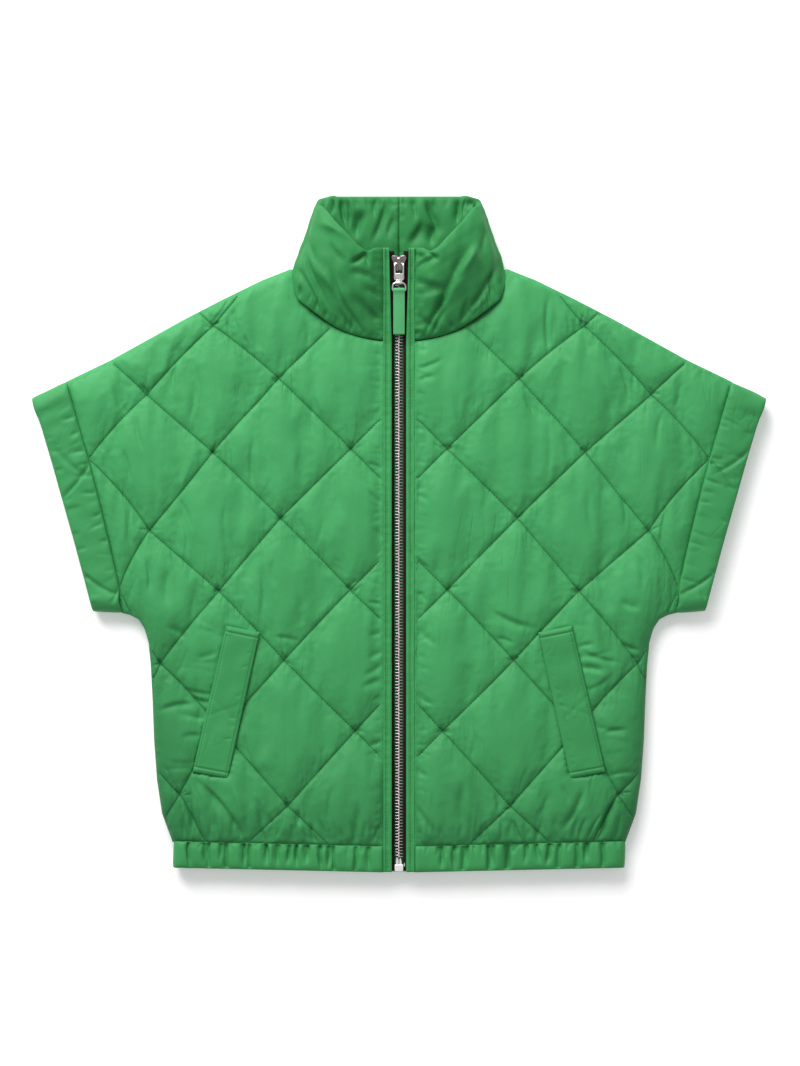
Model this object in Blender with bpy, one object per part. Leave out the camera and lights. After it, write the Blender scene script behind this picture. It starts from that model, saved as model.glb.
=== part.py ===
"""A short quilted gilet with grown-on cap sleeves, lying flat on its back, front up.

+X is the wearer's left, +Y runs from the hem to the collar and +Z is up from the surface it lies on.
Sizes are in millimetres until a mesh is made. The back panel rests on the plane z = 0, the two fronts
lie on it, and the bands and the collar are flattened tubes that fold round at the sides.
"""

import bpy
import numpy as np
from mathutils import Matrix, Vector
from mathutils.geometry import delaunay_2d_cdt

MM = 0.001
SEAM_GAP = 0.3  # left between neighbouring pieces

# ---------------------------------------------------------------- driving sizes, millimetres
LAYER_TOP = 12.0  # top of the back panel, where the fronts begin
PUFF_THICKNESS = 14.0  # quilted panel, middle of a diamond
STITCH_THICKNESS = 4.6  # quilted panel, along a quilting line
EDGE_THICKNESS = 3.2  # quilted panel, at its seams
ROLL_WIDTH = 17.0  # a panel's edge rolls down to its seam over this width
GROOVE_DEPTH = 2.5  # quilting lines on the underside
FLAT_PUFF = 0.35  # from this share of its height, a puff's underside lies flat

NECK_HALF_WIDTH = 106.0
NECK_Y = 266.0  # shoulder end of the neck seam
FRONT_NECK_DROP = 74.0
BACK_NECK_DROP = 22.0
FRONT_EDGE_X = 15.6  # a front's edge beside the zip facing

HEM_SEAM_SIDE_Y = -307.5
HEM_SEAM_CENTRE_Y = -313.0
HEM_SIDE_Y = -333.0
HEM_CENTRE_Y = -338.0
HEM_HALF_WIDTH = 226.5
HEM_THICKNESS = 10.0
HEM_GATHER = 1.6  # every other section is this much thinner
HEM_SLIT = 1.0  # between the hem band's two layers

BAND_THICKNESS = 11.0  # sleeve band

COLLAR_THICKNESS = 12.4
COLLAR_BASE_HALF = 105.3
COLLAR_TOP_HALF = 84.0
COLLAR_BASE_Y = 259.5  # lowest part of the fold at the side
COLLAR_TOP_Y = 336.0  # at the side
COLLAR_BACK_TOP_Y = 338.0
COLLAR_BACK_CLEARANCE = 0.8  # over the back neck seam
COLLAR_BASE_HALF_THICKNESS = 3.8  # the front leaf's seam edge lies this far under its outer face
COLLAR_BEFORE_FOLD_BASE_Y = 236.0
COLLAR_BEFORE_FOLD_TOP_Y = 328.0

RAMP_START_Y = 190.0  # the zip climbs a straight ramp from here to the collar's top
RAMP_TOP_Y = 285.0
FACING_Z = 19.5  # top of the zip facing on the body
FACING_TOP_Z = 34.5  # and at the collar's top edge
FACING_INNER_X = 8.5
FACING_THICKNESS = 3.6
TAPE_INNER_X = 4.6
TAPE_THICKNESS = 0.8
CHAIN_WIDTH = 8.6
CHAIN_THICKNESS = 3.2
CHAIN_BELOW_FACING = 4.4  # middle of the chain under the facing's top
CHAIN_FOOT_Y = -323.0
CHAIN_HEAD_Y = 261.2  # just under the slider's foot

WELT_SEAT_Z = 19.4  # the front is pressed flat to this height under a welt
WELT_THICKNESS = 5.0

# Outer edge of one half, from the neck to the side seam: x outwards, y up.
SHOULDER_EDGE = np.array([  # (x, y)
    (105.8, 266.5), (136.5, 254.5), (177.5, 234.5), (216.0, 214.5), (252.0, 194.5), (288.0, 174.5),
    (312.0, 163.0), (333.5, 152.5)])
SLEEVE_SEAM = np.array([  # (x, y), where the sleeve band is sewn on, shoulder to underarm
    (333.5, 152.5), (327.0, 130.0), (320.5, 107.0), (313.5, 83.0), (306.5, 57.0), (300.5, 33.5),
    (294.5, 9.0), (289.5, -12.0), (284.8, -33.0), (280.5, -55.0), (277.5, -78.5)])
SLEEVE_END = np.array([  # (x, y), the open end, at the same stations as the seam
    (367.5, 136.5), (359.5, 113.5), (352.8, 92.0), (345.5, 67.0), (338.5, 42.0), (332.0, 19.0),
    (325.5, -4.0), (319.8, -25.0), (315.0, -43.0), (310.5, -60.0), (306.0, -77.0)])
UNDERARM_AND_SIDE = np.array([  # (x, y)
    (277.5, -78.5), (269.0, -80.5), (260.5, -85.0), (254.5, -94.0), (250.5, -108.0), (248.3, -130.0),
    (246.5, -165.5), (245.0, -205.5), (242.0, -245.5), (237.0, -279.0), (228.5, -307.2)])

# Quilting: a net of diamonds. Each column of crossings has an x and a sag at four heights.
ROW_PITCH = 70.5
FIRST_ROW_Y = 85.5
LEVELS_Y = np.array([234.5, 114.5, -65.5, -265.5])  # shoulder, chest, waist, low
QUILT_COLUMNS = {  # column number: ((x at the four levels), (sag at the four levels))
    -1: ((-22, -22, -22, -24), (0, 0, 0, 0)),
    0: ((48, 48, 48.5, 41), (0, 0, 0, 0)),
    1: ((120, 120.5, 116.5, 111), (0, 0, -2, 4)),
    2: ((185, 187.5, 179.5, 179), (22, 4, 1, -3)),
    3: ((252, 252, 248, 218), (20, 15.5, 8.5, -8)),
    4: ((340, 319, 278, 270), (16, 13, 0, 0)),
    5: ((405, 385, 345, 335), (16, 13, 0, 0)),
}
BACK_COLUMN_PITCH = 68.5
FRONT_NET = 7  # steps along a diamond's side
BACK_NET = 6

WELT = np.array([(138.7, -97.6), (172.4, -90.7), (206.0, -237.0), (170.7, -243.5)])  # inner top, round

# Collar, one half: plan of a section at each station. The fold's angle goes from 0 (front leaf, facing
# up) to 180 (back leaf, facing down); crown is how far the leaf's middle puffs over its two edges.
COLLAR_STATIONS = [  # name, x_base, y_base, x_top, y_top, z_base, z_top, crown, angle
    ("zip edge", 15.6, 193.6, 15.6, 284.6, 19.6, 34.0, 0.0, 0),
    ("by the zip", 26.0, 195.0, 25.0, 285.6, 20.0, 36.0, 6.0, 0),
    ("front", 44.0, 199.0, 38.0, 287.0, 21.0, 37.5, 9.0, 0),
    ("front bulge", 64.0, 207.6, 52.0, 299.0, 22.5, 36.5, 10.0, 6),
    ("front side", 82.0, 219.8, 66.0, 314.0, 24.0, 33.0, 8.0, 16),
    ("before the fold", 95.0, 234.5, 76.5, 326.0, 24.0, 29.0, 5.0, 36),
]
COLLAR_FOLD_ANGLES = (62, 90, 118, 150, 180)
COLLAR_FOLD_TURN = (36, 90)  # the base and the top reach the back leaf's line between these angles
COLLAR_BACK_X = (60.0, 30.0, SEAM_GAP / 2)

# Pull hardware, on the ramp. Distances along the ramp are from the puller's axis, down towards the hem.
PULLER_AXIS_Y = 269.5
PULLER_AXIS_ABOVE_FACING = -0.05
SLIDER_DECK_Z = -1.05  # top of the slider's upper plate, from the puller's axis
PULLER_LENGTH = 19.0
PULLER_WIDTH = 10.5
PULLER_THICKNESS = 1.5
PULLER_BAR = 1.5
WINDOW_WIDTH = 6.1
WINDOW_END = 10.0
EYE_WIDTH = 3.6
EYE_OUTER = 3.4
EYE_BORE = 2.3
RING_WIRE = 1.6
RING_HALF_WIDTH = 6.55
RING_DROP = 7.4  # from the eye to the bar that carries the tab
TAB_WIDTH = 11.4
TAB_LENGTH = 46.5
TAB_PLY = 1.1


# ---------------------------------------------------------------- meshes and materials
def clear_scene():
    for item in list(bpy.data.objects):
        bpy.data.objects.remove(item)


def material(name, colour, roughness, metallic=0.0):
    finish = bpy.data.materials.get(name) or bpy.data.materials.new(name)
    finish.use_nodes = True
    shader = finish.node_tree.nodes["Principled BSDF"]
    shader.inputs["Base Color"].default_value = (*colour, 1.0)
    shader.inputs["Roughness"].default_value = roughness
    shader.inputs["Metallic"].default_value = metallic
    return finish


def shell_cloth(name):
    return material(f"{name} shell cloth", (0.055, 0.320, 0.100), 0.48)


def tape_cloth(name):
    return material(f"{name} zip tape", (0.020, 0.008, 0.009), 0.80)


def zip_metal(name):
    return material(f"{name} zip metal", (0.50, 0.46, 0.46), 0.32, 1.0)


def facing_out(points, faces):
    """The faces, turned round if they enclose a negative volume."""
    points = np.asarray(points, dtype=float)
    fans = np.array([(f[0], f[i], f[i + 1]) for f in faces for i in range(1, len(f) - 1)])
    a, b, c = (points[fans[:, i]] for i in range(3))
    volume = (a * np.cross(b, c)).sum()
    return faces if volume > 0 else [face[::-1] for face in faces]


def make_object(name, points, faces, finish, origin=(0.0, 0.0, 0.0), smooth_angle=40.0):
    """An object from points in millimetres, with its origin at the given place in millimetres."""
    faces = facing_out(points, faces)
    mesh = bpy.data.meshes.new(name)
    local = (np.asarray(points, dtype=float) - np.asarray(origin)) * MM
    mesh.from_pydata(local.tolist(), [], [list(map(int, face)) for face in faces])
    mesh.update()
    mesh.shade_smooth()
    mesh.set_sharp_from_angle(angle=np.radians(smooth_angle))
    mesh.materials.append(finish)
    item = bpy.data.objects.new(name, mesh)
    item.location = Vector(origin) * MM
    bpy.context.scene.collection.objects.link(item)
    return item


def loft(rings, closed=False):
    """Points and faces of a tube through rings of equal counts, capped at both ends unless closed."""
    rings = np.asarray(rings, dtype=float)
    count, around = rings.shape[:2]
    faces = []
    for i in range(count if closed else count - 1):
        here = i * around
        there = (i + 1) % count * around
        for j in range(around):
            k = (j + 1) % around
            faces.append((here + j, here + k, there + k, there + j))
    if not closed:
        faces.append(tuple(range(around))[::-1])
        faces.append(tuple(range((count - 1) * around, count * around)))
    return rings.reshape(-1, 3), faces


def prism(outline, low, high):
    """Points and faces of a flat outline, counter-clockwise from above, raised from low to high."""
    outline = np.asarray(outline, dtype=float)
    floor = np.column_stack([outline, np.full(len(outline), low)])
    roof = np.column_stack([outline, np.full(len(outline), high)])
    return loft([floor, roof])


def joined(*solids):
    """One closed mesh from several overlapping closed ones, as points and faces."""
    parts = []
    for i, (points, faces) in enumerate(solids):
        part = make_object(f"operand {i}", points, faces, None)
        part.hide_render = True
        part.display_type = "WIRE"
        parts.append(part)
    base = parts[0]
    for other in parts[1:]:
        union = base.modifiers.new("union", "BOOLEAN")
        union.operation = "UNION"
        union.solver = "EXACT"
        union.object = other
    graph = bpy.context.evaluated_depsgraph_get()
    graph.update()
    mesh = bpy.data.meshes.new_from_object(base.evaluated_get(graph))
    points = np.array([v.co[:] for v in mesh.vertices]) / MM
    faces = [tuple(p.vertices) for p in mesh.polygons]
    bpy.data.meshes.remove(mesh)
    for part in parts:
        bpy.data.objects.remove(part)
    return points, faces


# ---------------------------------------------------------------- plan geometry
def mirrored(points):
    """The same plan points on the other side, in an order that keeps the way round."""
    flipped = np.array(points, dtype=float)
    flipped[:, 0] *= -1.0
    return flipped[::-1]


def neck_curve(drop, x_from, x_to, count):
    """Half an ellipse that hangs from the shoulder points, between two x values."""
    end = np.arcsin(np.clip(np.array([x_from, x_to]) / NECK_HALF_WIDTH, -1, 1))
    turn = np.linspace(end[0], end[1], count)
    return np.column_stack([NECK_HALF_WIDTH * np.sin(turn), NECK_Y - drop * np.cos(turn)])


def hem_y(x, side_y, centre_y):
    return centre_y + (side_y - centre_y) * np.abs(x) / HEM_HALF_WIDTH


def distance_to(points, line):
    """Shortest distance from each point to an open polyline."""
    start = line[:-1]
    run = line[1:] - start
    along = ((points[:, None] - start) * run).sum(2) / (run * run).sum(1)
    foot = start + np.clip(along, 0, 1)[..., None] * run
    return np.linalg.norm(points[:, None] - foot, axis=2).min(1)


def inside(points, outline):
    """True for each point inside a closed outline, by crossings of a ray along +X."""
    following = np.roll(outline, -1, axis=0)
    x, y = points[:, :1], points[:, 1:]
    crosses = (outline[:, 1] > y) != (following[:, 1] > y)
    rise = np.where(following[:, 1] == outline[:, 1], 1.0, following[:, 1] - outline[:, 1])
    at = outline[:, 0] + (y - outline[:, 1]) / rise * (following[:, 0] - outline[:, 0])
    return (crosses & (x < at)).sum(1) % 2 == 1


def inset_points(outline, depth):
    """A ring of points that far inside the outline, without those that crowd a corner."""
    closed = np.vstack([outline, outline[:1]])
    run = np.diff(closed, axis=0)
    length = np.linalg.norm(run, axis=1, keepdims=True)
    inward = np.column_stack([-run[:, 1], run[:, 0]]) / length
    middles = closed[:-1] + run / 2 + inward * depth
    return middles[inside(middles, outline) & (distance_to(middles, closed) > depth * 0.9)]


def evenly(line, step):
    """The polyline with extra points, so that no stretch is much longer than step."""
    pieces = []
    for a, b in zip(line[:-1], line[1:]):
        count = max(1, round(float(np.linalg.norm(b - a)) / step))
        pieces.append(a + (b - a) * np.arange(count)[:, None] / count)
    return np.vstack([*pieces, line[-1:]])


# ---------------------------------------------------------------- quilting
def across_levels(values, y):
    """A column's value at height y, straight between the levels and steady past the ends."""
    return np.interp(-y, -LEVELS_Y, values)


def front_net_point(column, row):
    """Plan point of a place in the front's net, counted in columns and rows."""
    numbers = sorted(QUILT_COLUMNS)
    y = FIRST_ROW_Y - ROW_PITCH * row
    for _ in range(3):
        sags = np.array([across_levels(QUILT_COLUMNS[n][1], y) for n in numbers])
        sag = np.array([np.interp(c, numbers, s) for c, s in zip(column, sags.T)])
        y = FIRST_ROW_Y - ROW_PITCH * row - sag
    places = np.array([across_levels(QUILT_COLUMNS[n][0], y) for n in numbers])
    x = np.array([np.interp(c, numbers, p) for c, p in zip(column, places.T)])
    return np.column_stack([x, y])


def front_net_place(points):
    """The column and row of each plan point on a front; x is taken outwards from the zip."""
    x, y = np.abs(points[:, 0]), points[:, 1]
    numbers = sorted(QUILT_COLUMNS)
    places = [across_levels(QUILT_COLUMNS[n][0], y) for n in numbers]
    steps = [np.clip((x - a) / (b - a), 0, 1) for a, b in zip(places[:-1], places[1:])]
    column = numbers[0] + sum(steps)
    sags = np.array([across_levels(QUILT_COLUMNS[n][1], y) for n in numbers])
    sag = np.array([np.interp(c, numbers, s) for c, s in zip(column, sags.T)])
    return column, (FIRST_ROW_Y - y - sag) / ROW_PITCH


def back_net_point(column, row):
    return np.column_stack([column * BACK_COLUMN_PITCH, FIRST_ROW_Y - ROW_PITCH * row])


def back_net_place(points):
    return points[:, 0] / BACK_COLUMN_PITCH, (FIRST_ROW_Y - points[:, 1]) / ROW_PITCH


def puff(column, row):
    """Height share of the padding: 0 on a quilting line, 1 in the middle of a diamond."""
    height = 1.0
    for way in ((column + row) / 2, (column - row) / 2):
        share = way - np.floor(way)
        height = height * (1 - np.abs(1 - 2 * share) ** 2.4)
    return height ** 0.6


def net_inside(net_point, steps, outline, clearance):
    """The net's points that lie inside the outline, no nearer to it than the clearance."""
    ways = np.arange(-12 * steps, 12 * steps + 1) / steps
    first, second = (w.ravel() for w in np.meshgrid(ways, ways))
    column, row = first + second, first - second
    wanted = (np.abs(column) < 6) & (np.abs(row) < 8)
    points = net_point(column[wanted], row[wanted])
    closed = np.vstack([outline, outline[:1]])
    near = points[inside(points, outline)]
    return near[distance_to(near, closed) > clearance]


# ---------------------------------------------------------------- panels
def triangles_in(outline, inner, loops=()):
    """Plan points and triangles that fill the outline; the outline's points come first, in order."""
    rings = [outline, *loops]
    points = np.vstack([*rings, inner])
    edges = []
    start = 0
    for ring in rings:
        count = len(ring)
        edges += [(start + i, start + (i + 1) % count) for i in range(count)]
        start += count
    found = delaunay_2d_cdt([Vector(p) for p in points], edges, [], 1, 1e-4)
    places = np.array([p[:] for p in found[0]])
    order = np.full(len(places), -1)
    number = {}
    for index, origins in enumerate(found[3]):
        for origin in origins:
            number[origin] = index
    rim = [number[i] for i in range(len(outline))]
    rest = [i for i in range(len(places)) if i not in set(rim)]
    order[rim + rest] = np.arange(len(places))
    triangles = [tuple(order[i] for i in face) for face in found[2]]
    return places[rim + rest], triangles


def panel(name, outline, top, bottom, top_inner, bottom_inner, finish, loops=()):
    """A closed panel: an upper and a lower face inside one outline, and a wall between them."""
    above, above_faces = triangles_in(outline, top_inner, loops)
    below, below_faces = triangles_in(outline, bottom_inner)
    count = len(outline)
    shift = len(above)
    points = np.vstack([
        np.column_stack([above, top(above)]),
        np.column_stack([below, bottom(below)]),
    ])
    faces = list(above_faces)
    faces += [tuple(shift + i for i in face[::-1]) for face in below_faces]
    for i in range(count):
        k = (i + 1) % count
        faces.append((i, shift + i, shift + k, k))
    return make_object(name, points, faces, finish)


def roll(distance, width):
    """Quarter-round rise from 0 at the edge to 1 at the width."""
    share = np.clip(distance / width, 0, 1)
    return np.sqrt(1 - (1 - share) ** 2)


def front_outline():
    """Outline of the wearer's left front, counter-clockwise from the hem at the zip."""
    inner = FRONT_EDGE_X
    sleeve = SLEEVE_SEAM - (SEAM_GAP, 0.0)
    hem_corner = np.array([
        (inner, hem_y(inner, HEM_SEAM_SIDE_Y, HEM_SEAM_CENTRE_Y) + SEAM_GAP),
        (HEM_HALF_WIDTH, HEM_SEAM_SIDE_Y + SEAM_GAP),
    ])
    side = UNDERARM_AND_SIDE[:-1][::-1]
    neck = neck_curve(FRONT_NECK_DROP, NECK_HALF_WIDTH - 0.05, inner, 12)
    zip_edge = np.array([neck[-1], hem_corner[0]])
    pieces = [
        evenly(hem_corner, 16.0),
        evenly(side, 16.0)[:-1],
        sleeve[::-1],
        evenly(SHOULDER_EDGE[::-1], 16.0)[1:-1],
        neck[:-1],
        evenly(zip_edge, 16.0)[:-1],
    ]
    return np.vstack(pieces)


def front_top(points):
    """Upper face of a front: puffs that roll down to every edge, pressed flat under the welt."""
    outline = front_outline()
    outline = np.vstack([outline, outline[:1]])
    place = np.column_stack([np.abs(points[:, 0]), points[:, 1]])
    rise = roll(distance_to(place, outline), ROLL_WIDTH)
    column, row = front_net_place(place)
    quilted = STITCH_THICKNESS - EDGE_THICKNESS + (PUFF_THICKNESS - STITCH_THICKNESS) * puff(column, row)
    height = LAYER_TOP + SEAM_GAP + EDGE_THICKNESS + rise * quilted
    seat = welt_outline(2.0)
    on_seat = inside(place, seat) | (distance_to(place, np.vstack([seat, seat[:1]])) < 0.05)
    return np.where(on_seat, WELT_SEAT_Z, height)


def front_bottom(points):
    return np.full(len(points), LAYER_TOP + SEAM_GAP)


def welt_outline(grow=0.0):
    """Corners of the wearer's left pocket welt, counter-clockwise, grown outwards in plan."""
    centre = WELT.mean(0)
    offset = WELT - centre
    grown = centre + offset * (1 + grow / np.abs(offset).min(0).mean())
    return grown[::-1]


def make_fronts():
    outline = front_outline()
    rings = [inset_points(outline, depth) for depth in (4.0, 10.0)]
    seat = evenly(np.vstack([welt_outline(2.0), welt_outline(2.0)[:1]]), 18.0)[:-1]
    net = net_inside(front_net_point, FRONT_NET, outline, 15.0)
    off_seat = distance_to(net, np.vstack([seat, seat[:1]])) > 5.0
    inner = np.vstack([*rings, net[off_seat & ~inside(net, seat)]])
    coarse = net_inside(front_net_point, 2, outline, 20.0)
    for side in ("left", "right"):
        name = f"front_{side}"
        if side == "left":
            args = (outline, inner, coarse, seat)
        else:
            args = (mirrored(outline), mirrored(inner), mirrored(coarse), mirrored(seat))
        rim, top_inner, bottom_inner, loop = args
        panel(name, rim, front_top, front_bottom, top_inner, bottom_inner, shell_cloth(name), [loop])


def back_outline():
    """Outline of the back, counter-clockwise from the middle of the hem seam."""
    half = [
        evenly(np.array([(0.0, HEM_SEAM_CENTRE_Y + SEAM_GAP),
                         (HEM_HALF_WIDTH, HEM_SEAM_SIDE_Y + SEAM_GAP)]), 18.0),
        evenly(UNDERARM_AND_SIDE[:-1][::-1], 18.0)[:-1],
        (SLEEVE_SEAM - (SEAM_GAP, 0.0))[::-1],
        evenly(SHOULDER_EDGE[::-1], 18.0)[1:-1],
        neck_curve(BACK_NECK_DROP, NECK_HALF_WIDTH - 0.05, 0.0, 8),
    ]
    right_way = np.vstack(half)
    other = mirrored(right_way)[1:-1]
    return np.vstack([right_way, other])


def back_top(points):
    return np.full(len(points), LAYER_TOP)


def back_bottom(points):
    """Underside: flat where it rests, grooved along the quilting and rolled up at every edge."""
    outline = back_outline()
    edge = 1 - roll(distance_to(points, np.vstack([outline, outline[:1]])), ROLL_WIDTH)
    groove = np.clip(1 - puff(*back_net_place(points)) / FLAT_PUFF, 0, 1)
    return np.maximum((LAYER_TOP - EDGE_THICKNESS) * edge, GROOVE_DEPTH * groove)


def make_back():
    outline = back_outline()
    rings = [inset_points(outline, depth) for depth in (3.0, 8.0)]
    inner = np.vstack([*rings, net_inside(back_net_point, BACK_NET, outline, ROLL_WIDTH)])
    coarse = net_inside(back_net_point, 2, outline, 20.0)
    panel("back_panel", outline, back_top, back_bottom, coarse, inner, shell_cloth("back_panel"))


def make_welts():
    for side in ("left", "right"):
        name = f"pocket_welt_{side}"
        corners = welt_outline() if side == "left" else mirrored(welt_outline())
        outline = evenly(np.vstack([corners, corners[:1]]), 16.0)[:-1]
        ring = inset_points(outline, 3.5)
        middle = evenly((corners + np.roll(corners, -1, axis=0))[[1, 3]] / 2, 16.0)[1:-1]
        middle = middle[distance_to(middle, np.vstack([outline, outline[:1]])) > 8.0]
        low = WELT_SEAT_Z + SEAM_GAP
        rim = np.vstack([outline, outline[:1]])

        def top(points, rim=rim, low=low):
            return low + 2.2 + (WELT_THICKNESS - 2.2) * roll(distance_to(points, rim), 6.0)

        def bottom(points, low=low):
            return np.full(len(points), low)

        panel(name, outline, top, bottom, np.vstack([ring, middle]), middle, shell_cloth(name))


# ---------------------------------------------------------------- bands and collar
PROFILE = (0.0, 0.10, 0.32, 0.68, 0.90, 1.0)  # places across a band, from its seam to its free edge


def band_ring(base, edge, thickness, facing, crown=0.0):
    """One section of a padded strip: a rounded loop from base to edge, thick along facing."""
    share = np.array(PROFILE)
    half = thickness / 2 * (1 - np.abs(2 * share - 1) ** 3) ** (1 / 3)
    middle = base + (edge - base) * share[:, None]
    middle = middle + facing * (crown * 4 * share * (1 - share))[:, None]
    outer = middle + facing * half[:, None]
    inner = (middle - facing * half[:, None])[1:-1][::-1]
    return np.vstack([outer, inner])


def fold_facing(angle, outwards):
    """Unit direction that a strip faces at a fold's angle: 0 up, 90 outwards, 180 down."""
    turn = np.radians(angle)
    return np.array([*(np.sin(turn) * outwards), np.cos(turn)])


def make_sleeve_bands():
    """Each band is a flattened ring: front layer, fold at the shoulder, back layer, fold underarm."""
    radius = (BAND_THICKNESS + 2 * SEAM_GAP) / 2
    reach = radius + BAND_THICKNESS / 2
    up_the_band = (SLEEVE_SEAM[0] + SLEEVE_END[0] - SLEEVE_SEAM[1] - SLEEVE_END[1]) / 2
    up_the_band = up_the_band / np.linalg.norm(up_the_band)
    last = len(SLEEVE_SEAM) - 1
    stations = [(i, 0.0) for i in range(last - 1, 0, -1)]
    stations += [(0, angle) for angle in (15.0, 45.0, 90.0, 135.0, 165.0)]
    stations += [(i, 180.0) for i in range(1, last)]
    stations += [(last, angle) for angle in (195.0, 225.0, 270.0, 315.0, 345.0)]
    inset = {0: -reach, last: reach}
    rings = []
    for index, angle in stations:
        shift = up_the_band * inset.get(index, 0.0)
        base = np.array([*(SLEEVE_SEAM[index] + shift), reach])
        edge = np.array([*(SLEEVE_END[index] + shift), reach])
        facing = fold_facing(angle, up_the_band)
        rings.append(band_ring(base + facing * radius, edge + facing * radius, BAND_THICKNESS, facing))
    for side, sign in (("left", 1.0), ("right", -1.0)):
        name = f"sleeve_band_{side}"
        points, faces = loft(np.array(rings) * (sign, 1.0, 1.0), closed=True)
        make_object(name, points, faces, shell_cloth(name))


def make_hem_band():
    """One gathered strip from zip edge to zip edge: left front, fold, back, fold, right front."""
    radius = (HEM_THICKNESS + HEM_SLIT) / 2
    reach = radius + HEM_THICKNESS / 2
    fold_x = HEM_HALF_WIDTH - reach
    front = [(x, 0.0) for x in np.linspace(FRONT_EDGE_X, fold_x, 15)]
    turn = [(fold_x, angle) for angle in (45.0, 90.0, 135.0)]
    across = [(x, 180.0) for x in np.linspace(fold_x, -fold_x, 27)]
    turn_back = [(-fold_x, angle) for angle in (225.0, 270.0, 315.0)]
    stations = front + turn + across + turn_back + [(-x, 0.0) for x, _ in front[::-1]]
    rings = []
    for number, (x, angle) in enumerate(stations):
        gathered = HEM_THICKNESS - HEM_GATHER * (number % 2)
        base = np.array([x, hem_y(x, HEM_SEAM_SIDE_Y, HEM_SEAM_CENTRE_Y), reach])
        edge = np.array([x, hem_y(x, HEM_SIDE_Y, HEM_CENTRE_Y), reach])
        facing = fold_facing(angle, np.array([1.0, 0.0]))
        rings.append(band_ring(base + facing * radius, edge + facing * radius, gathered, facing))
    points, faces = loft(rings)
    make_object("hem_band", points, faces, shell_cloth("hem_band"))


def collar_rings():
    """Sections of the wearer's left collar half, from the zip edge round to the centre back."""
    half = COLLAR_THICKNESS / 2
    radius = half + SEAM_GAP
    reach = radius + half
    outwards = np.array([1.0, 0.0])
    rings = []
    for _, x_base, y_base, x_top, y_top, z_base, z_top, crown, angle in COLLAR_STATIONS:
        base = np.array([x_base, y_base, z_base - COLLAR_BASE_HALF_THICKNESS])
        top = np.array([x_top, y_top, z_top - half])
        ring = band_ring(base, top, COLLAR_THICKNESS, fold_facing(angle, outwards), crown)
        ring[:, 2] = np.maximum(ring[:, 2], LAYER_TOP + 2 * SEAM_GAP)
        rings.append(ring)
    for angle in COLLAR_FOLD_ANGLES:
        facing = fold_facing(angle, outwards)
        turned = np.interp(angle, COLLAR_FOLD_TURN, (0.0, 1.0))
        base_y = COLLAR_BEFORE_FOLD_BASE_Y + (COLLAR_BASE_Y - COLLAR_BEFORE_FOLD_BASE_Y) * turned
        top_y = COLLAR_BEFORE_FOLD_TOP_Y + (COLLAR_TOP_Y - COLLAR_BEFORE_FOLD_TOP_Y) * turned
        base = np.array([COLLAR_BASE_HALF - reach, base_y, reach]) + facing * radius
        top = np.array([COLLAR_TOP_HALF - reach, top_y, reach]) + facing * radius
        rings.append(band_ring(base, top, COLLAR_THICKNESS, facing))
    for x in COLLAR_BACK_X:
        base_y = neck_curve(BACK_NECK_DROP, x, x, 1)[0, 1] + COLLAR_BACK_CLEARANCE
        base = np.array([x, base_y, half])
        top = np.array([x, COLLAR_BACK_TOP_Y, half])
        rings.append(band_ring(base, top, COLLAR_THICKNESS, fold_facing(180.0, outwards)))
    return np.array(rings)


def make_collar():
    rings = collar_rings()
    for side, sign in (("left", 1.0), ("right", -1.0)):
        name = f"collar_{side}"
        points, faces = loft(rings * (sign, 1.0, 1.0))
        make_object(name, points, faces, shell_cloth(name))


# ---------------------------------------------------------------- zip
def facing_z(y):
    """Height of the facings' top: level on the body, then a straight ramp up the collar."""
    return np.interp(y, [RAMP_START_Y, RAMP_TOP_Y], [FACING_Z, FACING_TOP_Z])


RAMP_ANGLE = float(np.arctan2(FACING_TOP_Z - FACING_Z, RAMP_TOP_Y - RAMP_START_Y))


def strip_along_zip(x_from, x_to, y_from, y_to, below, thickness, rounding):
    """A flat strip that follows the zip, with eight-sided rounded edges."""
    stations = [y for y in (y_from, RAMP_START_Y, y_to) if y_from <= y <= y_to]
    stations = sorted(set(stations + list(np.linspace(y_from, min(RAMP_START_Y, y_to), 7))))
    r = rounding
    section = np.array([
        (x_from + r, 0), (x_to - r, 0), (x_to, r), (x_to, thickness - r),
        (x_to - r, thickness), (x_from + r, thickness), (x_from, thickness - r), (x_from, r)])
    rings = []
    for y in stations:
        low = facing_z(y) - below - thickness
        rings.append(np.column_stack([section[:, 0], np.full(8, y), section[:, 1] + low]))
    return loft(rings)


def make_zip_strips():
    foot = HEM_CENTRE_Y + 1.0
    for side, sign in (("left", 1.0), ("right", -1.0)):
        outer = FRONT_EDGE_X - SEAM_GAP
        facing = (FACING_INNER_X, outer, foot, RAMP_TOP_Y, 0.0, FACING_THICKNESS, 1.1)
        tape_below = CHAIN_BELOW_FACING - TAPE_THICKNESS / 2
        tape = (TAPE_INNER_X, outer - 1.5, foot + 1.0, RAMP_TOP_Y - 3.0, tape_below, TAPE_THICKNESS, 0.2)
        for name, sizes, finish in (
            (f"zip_facing_{side}", facing, shell_cloth),
            (f"zip_tape_{side}", tape, tape_cloth),
        ):
            points, faces = strip_along_zip(*sizes)
            make_object(name, points * (sign, 1.0, 1.0), faces, finish(name))
    half = CHAIN_WIDTH / 2
    below = CHAIN_BELOW_FACING - CHAIN_THICKNESS / 2
    points, faces = strip_along_zip(-half, half, CHAIN_FOOT_Y, CHAIN_HEAD_Y, below, CHAIN_THICKNESS, 0.7)
    make_object("zip_chain", points, faces, zip_metal("zip_chain"))


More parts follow.
